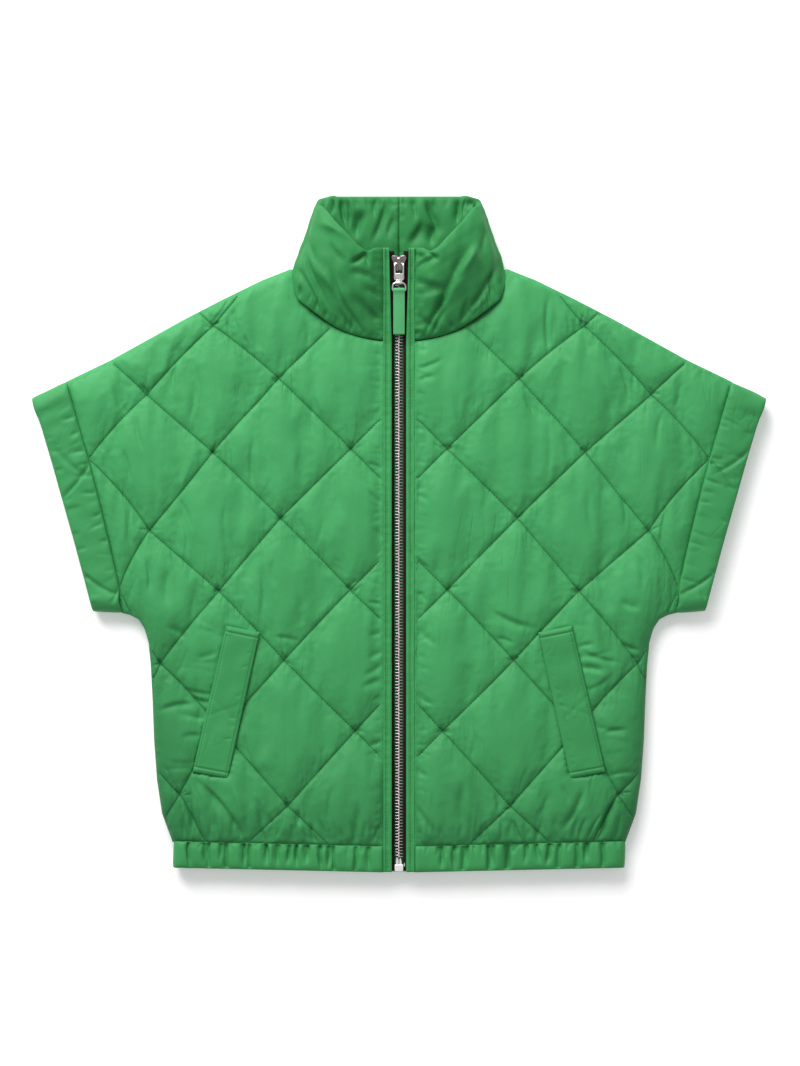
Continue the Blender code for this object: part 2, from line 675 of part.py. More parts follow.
def make_zip_foot():
    """The retainer box with its pin, at the hem."""
    middle = FACING_Z - CHAIN_BELOW_FACING
    box = prism([(-4.4, -336.6), (4.4, -336.6), (4.4, -329.4), (-4.4, -329.4)], middle - 1.9, middle + 1.9)
    pin = prism([(-1.6, -330.0), (1.6, -330.0), (1.6, -323.6), (-1.6, -323.6)], middle - 1.4, middle + 1.4)
    points, faces = joined(box, pin)
    make_object("zip_foot", points, faces, zip_metal("zip_foot"))


def on_ramp(points, axis):
    """Points given from an axis as (x, up the ramp, off the ramp) to their real place."""
    tilt = np.array(Matrix.Rotation(RAMP_ANGLE, 3, "X"))
    return np.asarray(points) @ tilt.T + axis


PULLER_AXIS = np.array([0.0, PULLER_AXIS_Y, facing_z(PULLER_AXIS_Y) + PULLER_AXIS_ABOVE_FACING])
RING_AXIS = on_ramp([(0.0, -PULLER_LENGTH, 0.0)], PULLER_AXIS)[0]


def make_slider():
    """Two plates on a post, and the bridge that holds the puller; z = 0 is the puller's axis."""
    chain = -CHAIN_BELOW_FACING - PULLER_AXIS_ABOVE_FACING
    mouth = CHAIN_THICKNESS / 2 + 0.35  # from the chain's middle to a plate
    plate = [(-5.6, -7.5), (5.6, -7.5), (5.8, 1.0), (7.9, 5.5), (6.4, 8.0), (-6.4, 8.0), (-7.9, 5.5),
             (-5.8, 1.0)]
    wedge = [(-1.6, 1.0), (1.6, 1.0), (2.6, 7.0), (-2.6, 7.0)]
    sunk = SLIDER_DECK_Z - 0.3
    arch = np.array([(6.8, sunk), (6.3, 1.2), (4.6, 2.2), (-5.2, 2.2), (-6.8, 1.2), (-7.3, sunk),
                     (-6.0, sunk), (-5.6, 0.6), (-4.6, 1.05), (3.9, 1.05), (4.9, 0.5), (5.2, sunk)])
    upper = prism(plate, chain + mouth, SLIDER_DECK_Z)
    lower = prism(plate, chain - mouth - 1.25, chain - mouth)
    post = prism(wedge, chain - mouth - 0.5, chain + mouth + 0.5)
    bridge = loft([np.column_stack([np.full(len(arch), x), arch]) for x in (-2.4, 2.4)])
    points, faces = joined(upper, bridge, post, lower)
    make_object("zip_slider", on_ramp(points, PULLER_AXIS), faces, zip_metal("zip_slider"),
                smooth_angle=30.0)


def ring_path():
    """Plan of the wire ring about the eye: half an ellipse for the arch, above a straight bar."""
    turn = np.radians(np.linspace(90, 0, 8))
    arch_drop = RING_DROP - 1.6
    arch = np.column_stack([RING_HALF_WIDTH * np.cos(turn), arch_drop * (np.sin(turn) - 1)])
    corner = [(RING_HALF_WIDTH, -RING_DROP + 0.7), (TAB_WIDTH / 2 + 0.45, -RING_DROP)]
    half = np.vstack([arch, corner])
    return np.vstack([half, half[::-1][:-1] * (-1.0, 1.0)])


def wire(path, radius, sides):
    """A closed loop of round wire along a plan path that lies level."""
    path = np.asarray(path, dtype=float)
    ahead = np.roll(path, -1, axis=0) - np.roll(path, 1, axis=0)
    ahead = ahead / np.linalg.norm(ahead, axis=1, keepdims=True)
    across = np.column_stack([-ahead[:, 1], ahead[:, 0]])
    turn = np.radians(np.arange(sides) * 360 / sides)
    rings = []
    for place, way in zip(path, across):
        plan = place + way * radius * np.cos(turn)[:, None]
        rings.append(np.column_stack([plan, radius * np.sin(turn)]))
    return loft(rings, closed=True)


def rod_ring(x, radius, sides, y=0.0, turned=0.0):
    """A circle round an axis along X, as one section of a rod or a bore."""
    turn = np.radians(np.arange(sides) * 360 / sides + turned)
    return np.column_stack([np.full(sides, x), y + radius * np.cos(turn), radius * np.sin(turn)])


def make_puller():
    """A metal frame: a round bar on the axis, two side bars, a plate and an eye for the ring."""
    half, window, thick = PULLER_WIDTH / 2, WINDOW_WIDTH / 2, PULLER_THICKNESS / 2
    eye_half = EYE_WIDTH / 2
    plate_foot = -PULLER_LENGTH + 2.0
    plate = prism([(-half + 1.2, plate_foot), (half - 1.2, plate_foot), (half, plate_foot + 1.8),
                   (half, -WINDOW_END), (-half, -WINDOW_END), (-half, plate_foot + 1.8)], -thick, thick)
    bar = loft([rod_ring(x, PULLER_BAR / 2, 10) for x in (-half + 0.1, half - 0.1)])
    sides = []
    for low, high in ((-half, -window), (window, half)):
        outline = [(low, -WINDOW_END - 1), (high, -WINDOW_END - 1), (high, 0.4), (low, 0.4)]
        sides.append(prism(outline, -thick, thick))
    neck = prism([(-eye_half, plate_foot - 1.1), (eye_half, plate_foot - 1.1),
                  (eye_half, plate_foot + 0.5), (-eye_half, plate_foot + 0.5)], -thick * 0.8, thick * 0.8)
    around = [(-eye_half, EYE_OUTER), (eye_half, EYE_OUTER), (eye_half, EYE_BORE), (-eye_half, EYE_BORE)]
    eye = loft([rod_ring(x, size / 2, 12, -PULLER_LENGTH, 15.0) for x, size in around], closed=True)
    points, faces = joined(plate, bar, *sides, neck, eye)
    make_object("zip_puller", on_ramp(points, PULLER_AXIS), faces, zip_metal("zip_puller"),
                PULLER_AXIS, 35.0)


def make_ring():
    points, faces = wire(ring_path(), RING_WIRE / 2, 8)
    make_object("pull_ring", on_ramp(points, RING_AXIS), faces, zip_metal("pull_ring"), RING_AXIS, 50.0)


def make_tab():
    """The cloth tab: one strip folded round the ring's bar, its two ends lying on each other."""
    inner = RING_WIRE / 2 + SEAM_GAP
    outer = inner + TAB_PLY
    split = SEAM_GAP / 2
    tail = -RING_DROP - TAB_LENGTH + outer
    meet = -RING_DROP - 4.0
    turns = {outer: np.radians(np.linspace(-35, 215, 10)), inner: np.radians(np.linspace(240, -60, 10))}
    loops = {r: np.column_stack([r * np.sin(t) - RING_DROP, r * np.cos(t)]) for r, t in turns.items()}
    profile = np.vstack([
        [(tail, split + TAB_PLY), (meet, split + TAB_PLY)], loops[outer],
        [(meet, -split - TAB_PLY), (tail, -split - TAB_PLY), (tail, -split), (meet + 1.2, -split)],
        loops[inner], [(meet + 1.2, split), (tail, split)]])
    half = TAB_WIDTH / 2
    points, faces = loft([np.column_stack([np.full(len(profile), x), profile]) for x in (half, -half)])
    make_object("pull_tab", on_ramp(points, RING_AXIS), faces, shell_cloth("pull_tab"), RING_AXIS, 50.0)


def main():
    clear_scene()
    make_back()
    make_fronts()
    make_welts()
    make_sleeve_bands()
    make_hem_band()
    make_collar()
    make_zip_strips()
    make_zip_foot()
    make_slider()
    make_puller()
    make_ring()
    make_tab()


main()
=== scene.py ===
# %% [markdown]
# # A quilted gilet, laid flat
# A short padded gilet lies on its back, front up, and is seen from straight above. Its shell is a thin
# satin nylon over wadding, sewn through in diamonds. This lesson builds every sewn piece as a surface
# worked out with numpy, lets Blender's cloth simulation gather the two fronts between their quilting
# lines, and adds the folds that are too particular for a simulation one by one.

import bpy
import numpy as np
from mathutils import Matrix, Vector
from mathutils.geometry import delaunay_2d_cdt


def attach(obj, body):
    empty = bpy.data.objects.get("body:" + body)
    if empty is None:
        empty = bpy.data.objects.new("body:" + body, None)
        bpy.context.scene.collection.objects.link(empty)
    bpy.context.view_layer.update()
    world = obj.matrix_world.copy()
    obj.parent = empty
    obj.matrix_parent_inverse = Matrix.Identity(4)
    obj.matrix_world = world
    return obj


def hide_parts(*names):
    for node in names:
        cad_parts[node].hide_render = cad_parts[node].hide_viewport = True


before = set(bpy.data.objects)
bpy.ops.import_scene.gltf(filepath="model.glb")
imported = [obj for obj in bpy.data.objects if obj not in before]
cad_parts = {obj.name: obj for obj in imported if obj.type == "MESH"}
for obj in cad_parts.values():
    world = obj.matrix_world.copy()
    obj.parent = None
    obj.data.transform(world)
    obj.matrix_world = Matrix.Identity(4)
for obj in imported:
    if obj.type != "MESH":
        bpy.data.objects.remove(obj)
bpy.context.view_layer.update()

# %% [markdown]
# ## Sizes
# All shapes are worked out in millimetres and turned into metres only when a mesh is made. X points to
# the wearer's left, Y up to the collar, Z up off the floor. Most outlines are those of the pattern pieces.

# %% Driving sizes
MM = 0.001
SEAM_GAP = 0.3
LAYER_TOP = 12.0  # top of the back panel, where the fronts begin
EDGE_THICKNESS = 3.2
STITCH_THICKNESS = 4.6
PUFF_RISE = 4.5  # middle of a diamond over its stitching
ROLL_WIDTH = 15.0
GROOVE_DEPTH = 2.8
NECK_HALF_WIDTH, NECK_Y = 106.0, 266.0
FRONT_NECK_DROP, BACK_NECK_DROP = 74.0, 22.0
FRONT_EDGE_X = 15.6
HEM_HALF_WIDTH = 226.5
HEM_SEAM_SIDE_Y, HEM_SEAM_CENTRE_Y = -307.5, -313.0
HEM_SIDE_Y, HEM_CENTRE_Y = -333.0, -338.0
HEM_THICKNESS, HEM_SLIT = 10.0, 1.0
BAND_THICKNESS = 11.0
COLLAR_THICKNESS = 12.4
FACING_Z, FACING_TOP_Z = 19.5, 34.5  # top of the zip facing on the body and at the collar's edge
RAMP_START_Y, RAMP_TOP_Y = 190.0, 285.0
CHAIN_BELOW_FACING = 4.4
WELT_SEAT_Z = 19.4
WELT_THICKNESS = 5.0
SIDES = (("left", 1.0), ("right", -1.0))  # the wearer's, with the sign of their X

SHOULDER_EDGE = np.array([  # (x, y)
    (105.8, 266.5), (136.5, 254.5), (177.5, 234.5), (216.0, 214.5), (252.0, 194.5), (288.0, 174.5),
    (312.0, 163.0), (333.5, 152.5)])
SLEEVE_SEAM = np.array([  # (x, y), shoulder to underarm
    (333.5, 152.5), (327.0, 130.0), (320.5, 107.0), (313.5, 83.0), (306.5, 57.0), (300.5, 33.5),
    (294.5, 9.0), (289.5, -12.0), (284.8, -33.0), (280.5, -55.0), (277.5, -78.5)])
SLEEVE_END = np.array([  # (x, y), at the same stations
    (367.5, 136.5), (359.5, 113.5), (352.8, 92.0), (345.5, 67.0), (338.5, 42.0), (332.0, 19.0),
    (325.5, -4.0), (319.8, -25.0), (315.0, -43.0), (310.5, -60.0), (306.0, -77.0)])
UNDERARM_AND_SIDE = np.array([  # (x, y)
    (277.5, -78.5), (269.0, -80.5), (260.5, -85.0), (254.5, -94.0), (250.5, -108.0), (248.3, -130.0),
    (246.5, -165.5), (245.0, -205.5), (242.0, -245.5), (237.0, -279.0), (228.5, -307.2)])
WELT = np.array([(138.7, -97.6), (172.4, -90.7), (206.0, -237.0), (170.7, -243.5)])  # inner top, round

# %% [markdown]
# ## Light, floor and camera
# The real thing was laid on white paper under a large soft light at its head end, so that every puff is
# bright above and darker along its lower edges. The camera looks straight down from three metres, and
# its lens is worked out so that one pixel of an 800 by 1066 image is one millimetre at shell height.

# %% Camera
IMAGE_HEIGHT_MM = 1066.0
IMAGE_CENTRE = (1.0, 1.5)
CAMERA_Z = 3.0
SHELL_Z = 0.014


def make_camera():
    data = bpy.data.cameras.new("camera")
    data.sensor_width = 36.0
    data.lens = data.sensor_width * (CAMERA_Z - SHELL_Z) / (IMAGE_HEIGHT_MM * MM)
    camera = bpy.data.objects.new("camera", data)
    camera.location = (IMAGE_CENTRE[0] * MM, IMAGE_CENTRE[1] * MM, CAMERA_Z)
    bpy.context.scene.collection.objects.link(camera)
    bpy.context.scene.camera = camera
    return data.lens


print("lens:", round(make_camera(), 1), "mm")

# %% [markdown]
# One large lamp stands beyond the collar and a faint one fills in from the hem's side. An even white
# world lights the rest, as the white walls of a studio do.

# %% Lights and world
KEY_POWER, KEY_SIZE = 119.0, 2.0
KEY_PLACE, KEY_AIM = (-0.85, 2.05, 1.5), (0.0, 0.0, 0.0)
FILL_POWER, FILL_SIZE, FILL_PLACE = 2.0, 2.0, (1.3, -0.6, 1.9)
WORLD_STRENGTH = 0.46


def area_light(name, place, aim, power, size):
    data = bpy.data.lights.new(name, "AREA")
    data.energy, data.size = power, size
    lamp = bpy.data.objects.new(name, data)
    lamp.location = place
    lamp.rotation_euler = (Vector(aim) - Vector(place)).to_track_quat("-Z", "Y").to_euler()
    bpy.context.scene.collection.objects.link(lamp)


area_light("key light", KEY_PLACE, KEY_AIM, KEY_POWER, KEY_SIZE)
area_light("fill light", FILL_PLACE, KEY_AIM, FILL_POWER, FILL_SIZE)
world = bpy.data.worlds.new("studio")
bpy.context.scene.world = world
world.use_nodes = True
sky = world.node_tree.nodes["Background"]
sky.inputs["Color"].default_value = (1.0, 1.0, 1.0, 1.0)
sky.inputs["Strength"].default_value = WORLD_STRENGTH
bpy.context.scene.view_settings.view_transform = "Standard"

# %% [markdown]
# ## Writing shader maths as Python
# A shader is a graph of nodes, but its maths reads best as an expression. One small class wraps an
# output socket and turns the operators into Math nodes. Everything else, such as noise or a mix of two
# colours, comes from one method that sets a node's settings first and its sockets after.

# %% The signal class


class Signal:
    """A number on its way through a material: adding or multiplying it adds a Math node."""

    def __init__(self, finish, socket):
        self.finish = finish
        self.socket = socket

    def math(self, operation, *values):
        return self.finish.node("ShaderNodeMath", {"operation": operation}, dict(enumerate(values)))

    def __add__(self, other):
        return self.math("ADD", self, other)

    def __sub__(self, other):
        return self.math("SUBTRACT", self, other)

    def __rsub__(self, other):
        return self.math("SUBTRACT", other, self)

    def __mul__(self, other):
        return self.math("MULTIPLY", self, other)

    __radd__ = __add__
    __rmul__ = __mul__

    def sine(self):
        return self.math("SINE", self)

    def size(self):
        return self.math("ABSOLUTE", self)

    def clamped(self):
        return self.finish.node("ShaderNodeClamp", {}, {"Value": self})


class Finish:
    """A material under construction."""

    def __init__(self, name, roughness, metallic=0.0, sheen=0.0, specular=0.5):
        self.material = bpy.data.materials.new(name)
        self.material.use_nodes = True
        self.tree = self.material.node_tree
        self.shader = self.tree.nodes["Principled BSDF"]
        constants = {"Roughness": roughness, "Metallic": metallic, "Sheen Weight": sheen,
                     "Specular IOR Level": specular}
        for socket, value in constants.items():
            self.shader.inputs[socket].default_value = value

    def node(self, kind, settings, sockets, output=0):
        """Adds one node: its settings first, then its sockets by name or number."""
        made = self.tree.nodes.new(kind)
        for name, value in settings.items():
            setattr(made, name, value)
        for name, value in sockets.items():
            self.connect(made.inputs[name], value)
        return Signal(self, made.outputs[output])

    def connect(self, socket, value):
        if isinstance(value, Signal):
            self.tree.links.new(value.socket, socket)
        else:
            socket.default_value = value

    def shade(self, **sockets):
        """Feeds the shader: base_color becomes Base Color, and so on."""
        for name, value in sockets.items():
            self.connect(self.shader.inputs[name.replace("_", " ").title()], value)

    def place(self, stretch=(1.0, 1.0, 1.0)):
        """Object coordinates, in metres, times a stretch for each axis."""
        here = self.node("ShaderNodeTexCoord", {}, {}, "Object")
        return self.node("ShaderNodeMapping", {}, {"Vector": here, "Scale": stretch})

    def axis(self, vector, number):
        return self.node("ShaderNodeSeparateXYZ", {}, {0: vector}, number)

    def noise(self, vector, scale, detail=2.0, roughness=0.5):
        sizes = {"Vector": vector, "Scale": scale, "Detail": detail, "Roughness": roughness}
        return self.node("ShaderNodeTexNoise", {}, sizes)

    def mix(self, factor, low, high):
        """A colour between two colours."""
        return self.node("ShaderNodeMix", {"data_type": "RGBA"}, {0: factor, 6: low, 7: high}, 2)

    def bump(self, height, distance=1.0):
        """A normal from a height in metres once it is multiplied by the distance."""
        return self.node("ShaderNodeBump", {}, {"Height": height, "Distance": distance})


def opaque(colour):
    return (*colour, 1.0)


print("shader tools ready")

# %% [markdown]
# ## The finishes
# The shell is a close plain weave of green nylon: two sets of threads, under half a millimetre apart,
# that only show near by. Over them lie shallow drag lines, mostly along the garment, and a slight
# unevenness of colour. The weave is bump because it is far finer than any mesh should be.

# %% Cloth finishes
SHELL_LIT, SHELL_DEEP = (0.049, 0.298, 0.097), (0.040, 0.258, 0.080)
# the colour that painted shade darkens the shell towards
SHELL_SHADE = (0.012, 0.100, 0.028)
BAND_LIT, BAND_DEEP = (0.042, 0.262, 0.083), (0.034, 0.228, 0.068)
HEM_LIT, HEM_DEEP = (0.044, 0.278, 0.085), (0.036, 0.240, 0.070)  # painted shade: the hem and the collar see less light, so their colours are darker copies of the shell's
COLLAR_LIT, COLLAR_DEEP = (0.029, 0.211, 0.060), (0.023, 0.178, 0.048)
# the thread's green is darker than the shell's: partly its own tone, partly painted shade of the stitch holes
THREAD_LIT, THREAD_DEEP = (0.026, 0.170, 0.056), (0.020, 0.140, 0.045)
TAB_LIT, TAB_DEEP = (0.088, 0.370, 0.150), (0.075, 0.330, 0.125)
DIAMOND_SIDE_M = 0.097
THREAD_PITCH, STITCH_PITCH = 0.00042, 0.0032
LINE_HALF_WIDTH, PUCKER_REACH, KNOT_REACH = 0.0011, 0.016, 0.0065
WEAVE_DEPTH, TIGHT_DEPTH, HOLE_DEPTH, KNOT_DEPTH = 0.000012, 0.0001, 0.0005, 0.0012
# how deep the painted shade is on the sides, the low front and the sleeves
SIDE_SHADE, LOW_SHADE, SLEEVE_SHADE = 0.4, 0.28, 0.3


def woven(finish):
    """Plain weave height: the product of one sine across and one sine along, 0 to 1."""
    place, turn = finish.place(), 2 * np.pi / THREAD_PITCH
    across = (finish.axis(place, 0) * turn).sine()
    along = (finish.axis(place, 1) * turn).sine()
    return (across * along + 1.0) * 0.5


def slope(value, start, width):
    """0 up to the start, then rising to 1 over the width."""
    return ((value - start) * (1 / width)).clamped()


def painted_shade_turned_away(finish):
    """Painted shade: how far the fronts' cloth is darkened as if turned from the light, by the place in
    metres
    from their middle: the sides below the sleeves, the low front, and the sleeves towards their underarm."""
    across, along = finish.axis(finish.place(), 0).size(), finish.axis(finish.place(), 1)
    down = along * -1.0
    body = slope(across, 0.185, 1 / 16) * slope(down, 0.07, 0.04) * SIDE_SHADE
    body = body + slope(down, 0.14, 1 / 7) * LOW_SHADE
    sleeve = slope(across, 0.235, 1 / 11) * slope(down, -0.12, 1 / 6) * SLEEVE_SHADE
    return body.math("MAXIMUM", body, sleeve).clamped()


def quilting(finish):
    """How much a point is on a quilting line, holes included, how close it is to one, and how close to a
    crossing, all 0 to 1."""
    place = finish.node("ShaderNodeAttribute", {"attribute_name": "net"}, {}, "Vector")
    on_mesh = finish.axis(place, 2)
    line, close, knot = 0.0, 0.0, on_mesh
    for across, along in ((0, 1), (1, 0)):
        way = finish.axis(place, across)
        away = (way - way.math("ROUND", way)).size() * DIAMOND_SIDE_M
        holes = (finish.axis(place, along) * (2 * np.pi * DIAMOND_SIDE_M / STITCH_PITCH)).sine()
        line = (1.0 - away * (1 / LINE_HALF_WIDTH)).clamped() * (holes * 0.2 + 0.8) + line
        close = (1.0 - away * (1 / PUCKER_REACH)).clamped() + close
        knot = (1.0 - away * (1 / KNOT_REACH)).clamped() * knot
    return (line * on_mesh).clamped(), (close * on_mesh).clamped(), knot


def wrinkles(finish, stretch, presence):
    """Thin valleys along the middle contour of a stretched noise, 1 at their bottom. Presence fades them."""
    field = finish.noise(finish.place(stretch), 1.0, 1.2, 0.45)
    valley = (1.0 - (field - 0.5).size() * 8.0).clamped()
    return valley * valley * presence.clamped()


def shell_finish(name, lit=SHELL_LIT, deep=SHELL_DEEP, drag=(95.0, 22.0, 60.0), drag_depth=0.00045,
                 quilted=False, wrinkle=(85.0, 15.0, 60.0), wrinkle_depth=0.0004):
    """Green nylon: mottled colour, drag lines, fine wrinkles, the quilting's stitching and the weave, with
    painted shade along the stitching, at its crossings, in the wrinkles and on the fronts' turned-away parts.
    All the heights are metres and are added up before one bump turns them into a normal."""
    finish = Finish(name, roughness=0.5, sheen=0.01, specular=0.15)
    mottle = finish.noise(finish.place(), 14.0, 3.0)
    lines = finish.noise(finish.place(drag), 1.0, 3.0, 0.55)
    tight = finish.noise(finish.place((260.0, 120.0, 200.0)), 1.0, 2.0, 0.5)
    colour = finish.mix((mottle * 1.6 - 0.3).clamped(), opaque(deep), opaque(lit))
    presence = finish.noise(finish.place(), 26.0, 1.0) * 3.4 - 1.5
    if quilted:
        line, close, knot = quilting(finish)
        # painted shade: the sides, the low front and the sleeves are darkened towards SHELL_SHADE
        colour = finish.mix(painted_shade_turned_away(finish), colour, opaque(SHELL_SHADE))
        presence = presence + close * 0.75 - 0.2
        # painted shade: darker along the quilting lines, more at the needle holes, and at the crossings
        colour = finish.mix((line * 0.55 + knot * 0.45).clamped(), colour, opaque(SHELL_SHADE))
    crease = wrinkles(finish, wrinkle, presence)
    # painted shade in the bottoms of the fine wrinkles
    colour = finish.mix(crease * 0.08, colour, opaque(SHELL_SHADE))
    height = lines * drag_depth + tight * TIGHT_DEPTH - crease * wrinkle_depth + woven(finish) * WEAVE_DEPTH
    if quilted:
        height = height - line * HOLE_DEPTH - knot * KNOT_DEPTH
    finish.shade(base_color=colour, roughness=lines * 0.16 + 0.44, normal=finish.bump(height))
    return finish.material


shell = shell_finish("shell cloth", quilted=True)
# The bands, the hem and the collar use darker copies of the shell's colour: painted shade.
shell_band = shell_finish("shell cloth, bands", BAND_LIT, BAND_DEEP, (60.0, 60.0, 60.0), 0.00035,
                          wrinkle=(70.0, 40.0, 60.0))
shell_hem = shell_finish("shell cloth, hem", HEM_LIT, HEM_DEEP, (80.0, 25.0, 60.0), 0.0005,
                         wrinkle=(70.0, 12.0, 60.0))
shell_collar = shell_finish("shell cloth, collar", COLLAR_LIT, COLLAR_DEEP, (50.0, 34.0, 50.0), 0.0007,
                            wrinkle_depth=0.0)
thread = shell_finish("sewing thread", THREAD_LIT, THREAD_DEEP, (400.0, 400.0, 400.0))
tab_cloth = shell_finish("pull tab cloth", TAB_LIT, TAB_DEEP, (60.0, 90.0, 60.0), 0.0002, wrinkle_depth=0.0)
print("cloth finishes:", [m.name for m in (shell, shell_band, shell_hem, shell_collar, thread, tab_cloth)])

# %% [markdown]
# The zip's tape is very dark brown with fine ribs, and its metal is tumbled, a silver with a faint rose
# cast, bright where it is rubbed and dull between the teeth.

# %% Tape, metal and paper finishes
TAPE_RIB, PAPER_GLOW = 0.0009, 0.2  # the tape's ribs are 0.9 mm apart; the paper glows, painted light that lightens the shadows on it


def tape_finish():
    finish = Finish("zip tape", roughness=0.85, specular=0.12)
    rib = (finish.axis(finish.place(), 1) * (2 * np.pi / TAPE_RIB)).sine() * 0.5 + 0.5
    mottle = finish.noise(finish.place(), 900.0, 2.0)
    colour = finish.mix((mottle * rib).clamped(), opaque((0.008, 0.004, 0.004)),
                        opaque((0.026, 0.012, 0.012)))
    finish.shade(base_color=colour, normal=finish.bump(rib, 0.00012))
    return finish.material


def metal_finish(name, bright, dull, roughness, scratch=700.0, metallic=1.0):
    finish = Finish(name, roughness=roughness, metallic=metallic)
    wear = finish.noise(finish.place(), scratch, 4.0, 0.6)
    brushed = finish.noise(finish.place((900.0, 6000.0, 900.0)), 1.0, 2.0)
    finish.shade(base_color=finish.mix(wear, opaque(dull), opaque(bright)),
                 roughness=wear * 0.2 + (roughness - 0.1), normal=finish.bump(brushed, 0.00003))
    return finish.material


tape = tape_finish()
tooth_metal = metal_finish("zip teeth", (0.84, 0.68, 0.73), (0.40, 0.29, 0.32), 0.36)
pull_metal = metal_finish("pull metal", (0.92, 0.88, 0.89), (0.72, 0.67, 0.68), 0.32)
# painted reflection: the polished slider's dark brown colour stands in for the dark tape that it reflects
slider_metal = metal_finish("slider metal", (0.44, 0.38, 0.38), (0.20, 0.15, 0.15), 0.3)
# painted highlight: the polished foot is near white and partly diffuse, so it shows bright all over
foot_metal = metal_finish("foot metal", (0.93, 0.92, 0.92), (0.80, 0.78, 0.78), 0.4, metallic=0.4)


def paper_finish():
    finish = Finish("white paper", roughness=0.9, specular=0.2)
    # painted light: the paper glows to lighten the shadows that fall on it
    finish.shade(emission_color=(1.0, 1.0, 1.0, 1.0), emission_strength=PAPER_GLOW)
    grain = finish.noise(finish.place(), 350.0, 2.0)
    finish.shade(base_color=finish.mix(grain, opaque((0.93, 0.93, 0.935)), opaque((0.95, 0.95, 0.95))))
    return finish.material


# %% [markdown]
# ## From arrays to meshes
# Every piece ends as three arrays: its points, its four-sided faces and its three-sided ones. One
# function puts them into a mesh with foreach_set, turning them inside out first if their signed volume
# says that they face inwards. Another reads a field of a mesh back as an array.

# %% Mesh helpers


def signed_volume(points, faces):
    """Six times the volume under every fan triangle, summed: negative if the faces point inwards."""
    total = 0.0
    for i in range(1, faces.shape[1] - 1):
        a, b, c = points[faces[:, 0]], points[faces[:, i]], points[faces[:, i + 1]]
        total += (a * np.cross(b, c)).sum()
    return total


def make_mesh(name, points, *blocks):
    """A smooth mesh from points in millimetres and blocks of faces, one block for each side count."""
    points = np.asarray(points, dtype=float)
    blocks = [np.asarray(block, dtype=np.int64) for block in blocks if len(block)]
    if sum(signed_volume(points, block) for block in blocks) < 0:
        blocks = [block[:, ::-1] for block in blocks]
    sides = np.concatenate([np.full(len(block), block.shape[1]) for block in blocks])
    corners = np.concatenate([block.ravel() for block in blocks])
    mesh = bpy.data.meshes.new(name)
    mesh.vertices.add(len(points))
    mesh.vertices.foreach_set("co", (points * MM).astype(np.float32).ravel())
    mesh.loops.add(len(corners))
    mesh.loops.foreach_set("vertex_index", corners.astype(np.int32))
    mesh.polygons.add(len(sides))
    mesh.polygons.foreach_set("loop_start", (np.cumsum(sides) - sides).astype(np.int32))
    mesh.update(calc_edges=True)
    mesh.shade_smooth()
    return mesh


def read(items, field, width, kind=np.float32):
    """That field of every item, as the rows of an array."""
    out = np.empty(len(items) * width, kind)
    items.foreach_get(field, out)
    return out.reshape(-1, width)


def make_object(name, mesh, *materials):
    item = bpy.data.objects.new(name, mesh)
    bpy.context.scene.collection.objects.link(item)
    for material in materials:
        mesh.materials.append(material)
    return item


def finish_piece(name, mesh, material, stands_for=(), body="garment"):
    """Links a mesh as a piece that rides on a body and stands for its CAD nodes."""
    piece = make_object(name, mesh, material)
    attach(piece, body)
    if stands_for:
        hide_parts(*stands_for)
    print(f"{name}: {len(mesh.vertices)} points, {sum(len(p.vertices) - 2 for p in mesh.polygons)} triangles")
    return piece


FLOOR_REACH, FLOOR_BELOW = 4000.0, 0.4
floor_corners = np.array([(-1, -1), (1, -1), (1, 1), (-1, 1)]) * FLOOR_REACH
floor_mesh = make_mesh("floor", np.column_stack([floor_corners, np.full(4, -FLOOR_BELOW)]), [(0, 1, 2, 3)])
floor = make_object("floor", floor_mesh, paper_finish())

# %% [markdown]
# ## Folds placed one by one
# A fold in thin cloth is a trough with a soft lip on both sides, and it dies away at its two ends. Each
# row of a table gives where it starts and ends, how wide it is and how deep, in millimetres; a ridge
# has a negative depth. Broader unevenness comes from a few long sine waves with seeded directions.

# %% Fold and crumple functions
FOLD_BEND = 0.05  # how far a fold bows, as a share of its length
FOLD_STEEP, FOLD_GENTLE = 1.5, 0.75


def soft_step(value, low, high):
    """0 below low, 1 above high, and 3t² - 2t³ between."""
    t = np.clip((value - low) / (high - low), 0, 1)
    return t * t * (3 - 2 * t)


def folds(places, rows):
    """Height added by creases: -depth (1 - u²/4) e^(-|u|^1.5), u = distance across / width, faded at ends.
    Each is steep on one side, where the cloth tucks under itself, and gentle on the other."""
    height = np.zeros(len(places))
    for number, (x0, y0, x1, y1, width, depth) in enumerate(rows):
        start, run = np.array([x0, y0]), np.array([x1 - x0, y1 - y0])
        length = np.hypot(*run)
        reach = length / 2 + 7 * width
        near = np.where(np.abs(places - start - run / 2).max(1) < reach)[0]
        away = places[near] - start
        along = away @ run / length ** 2
        bend = FOLD_BEND * length * np.sin(np.pi * np.clip(along, 0, 1)) * (1 - 2 * (number % 2))
        across = (away @ np.array([-run[1], run[0]]) / length + bend) / width
        steep = 1 if number % 3 else -1
        u = across * np.where(across * steep > 0, FOLD_STEEP, FOLD_GENTLE)
        fade = soft_step(along, -0.1, 0.35) * (1 - soft_step(along, 0.6, 1.1))
        height[near] -= depth * fade * (1 - u ** 2 / 4) * np.exp(-np.abs(u) ** 1.5)
    return height


def crumple(places, seed, size, stretch=(1.0, 1.0), waves=7):
    """Soft unevenness about 0: the mean of sine waves of about that size, in seeded directions."""
    random = np.random.default_rng(seed)
    total = np.zeros(len(places))
    for _ in range(waves):
        turn, phase, scale = random.uniform(0, np.pi), random.uniform(0, 2 * np.pi), random.uniform(0.6, 1.6)
        way = np.array([np.cos(turn) / stretch[0], np.sin(turn) / stretch[1]]) * 2 * np.pi / (size * scale)
        total += np.sin(places @ way + phase)
    return total / np.sqrt(waves)


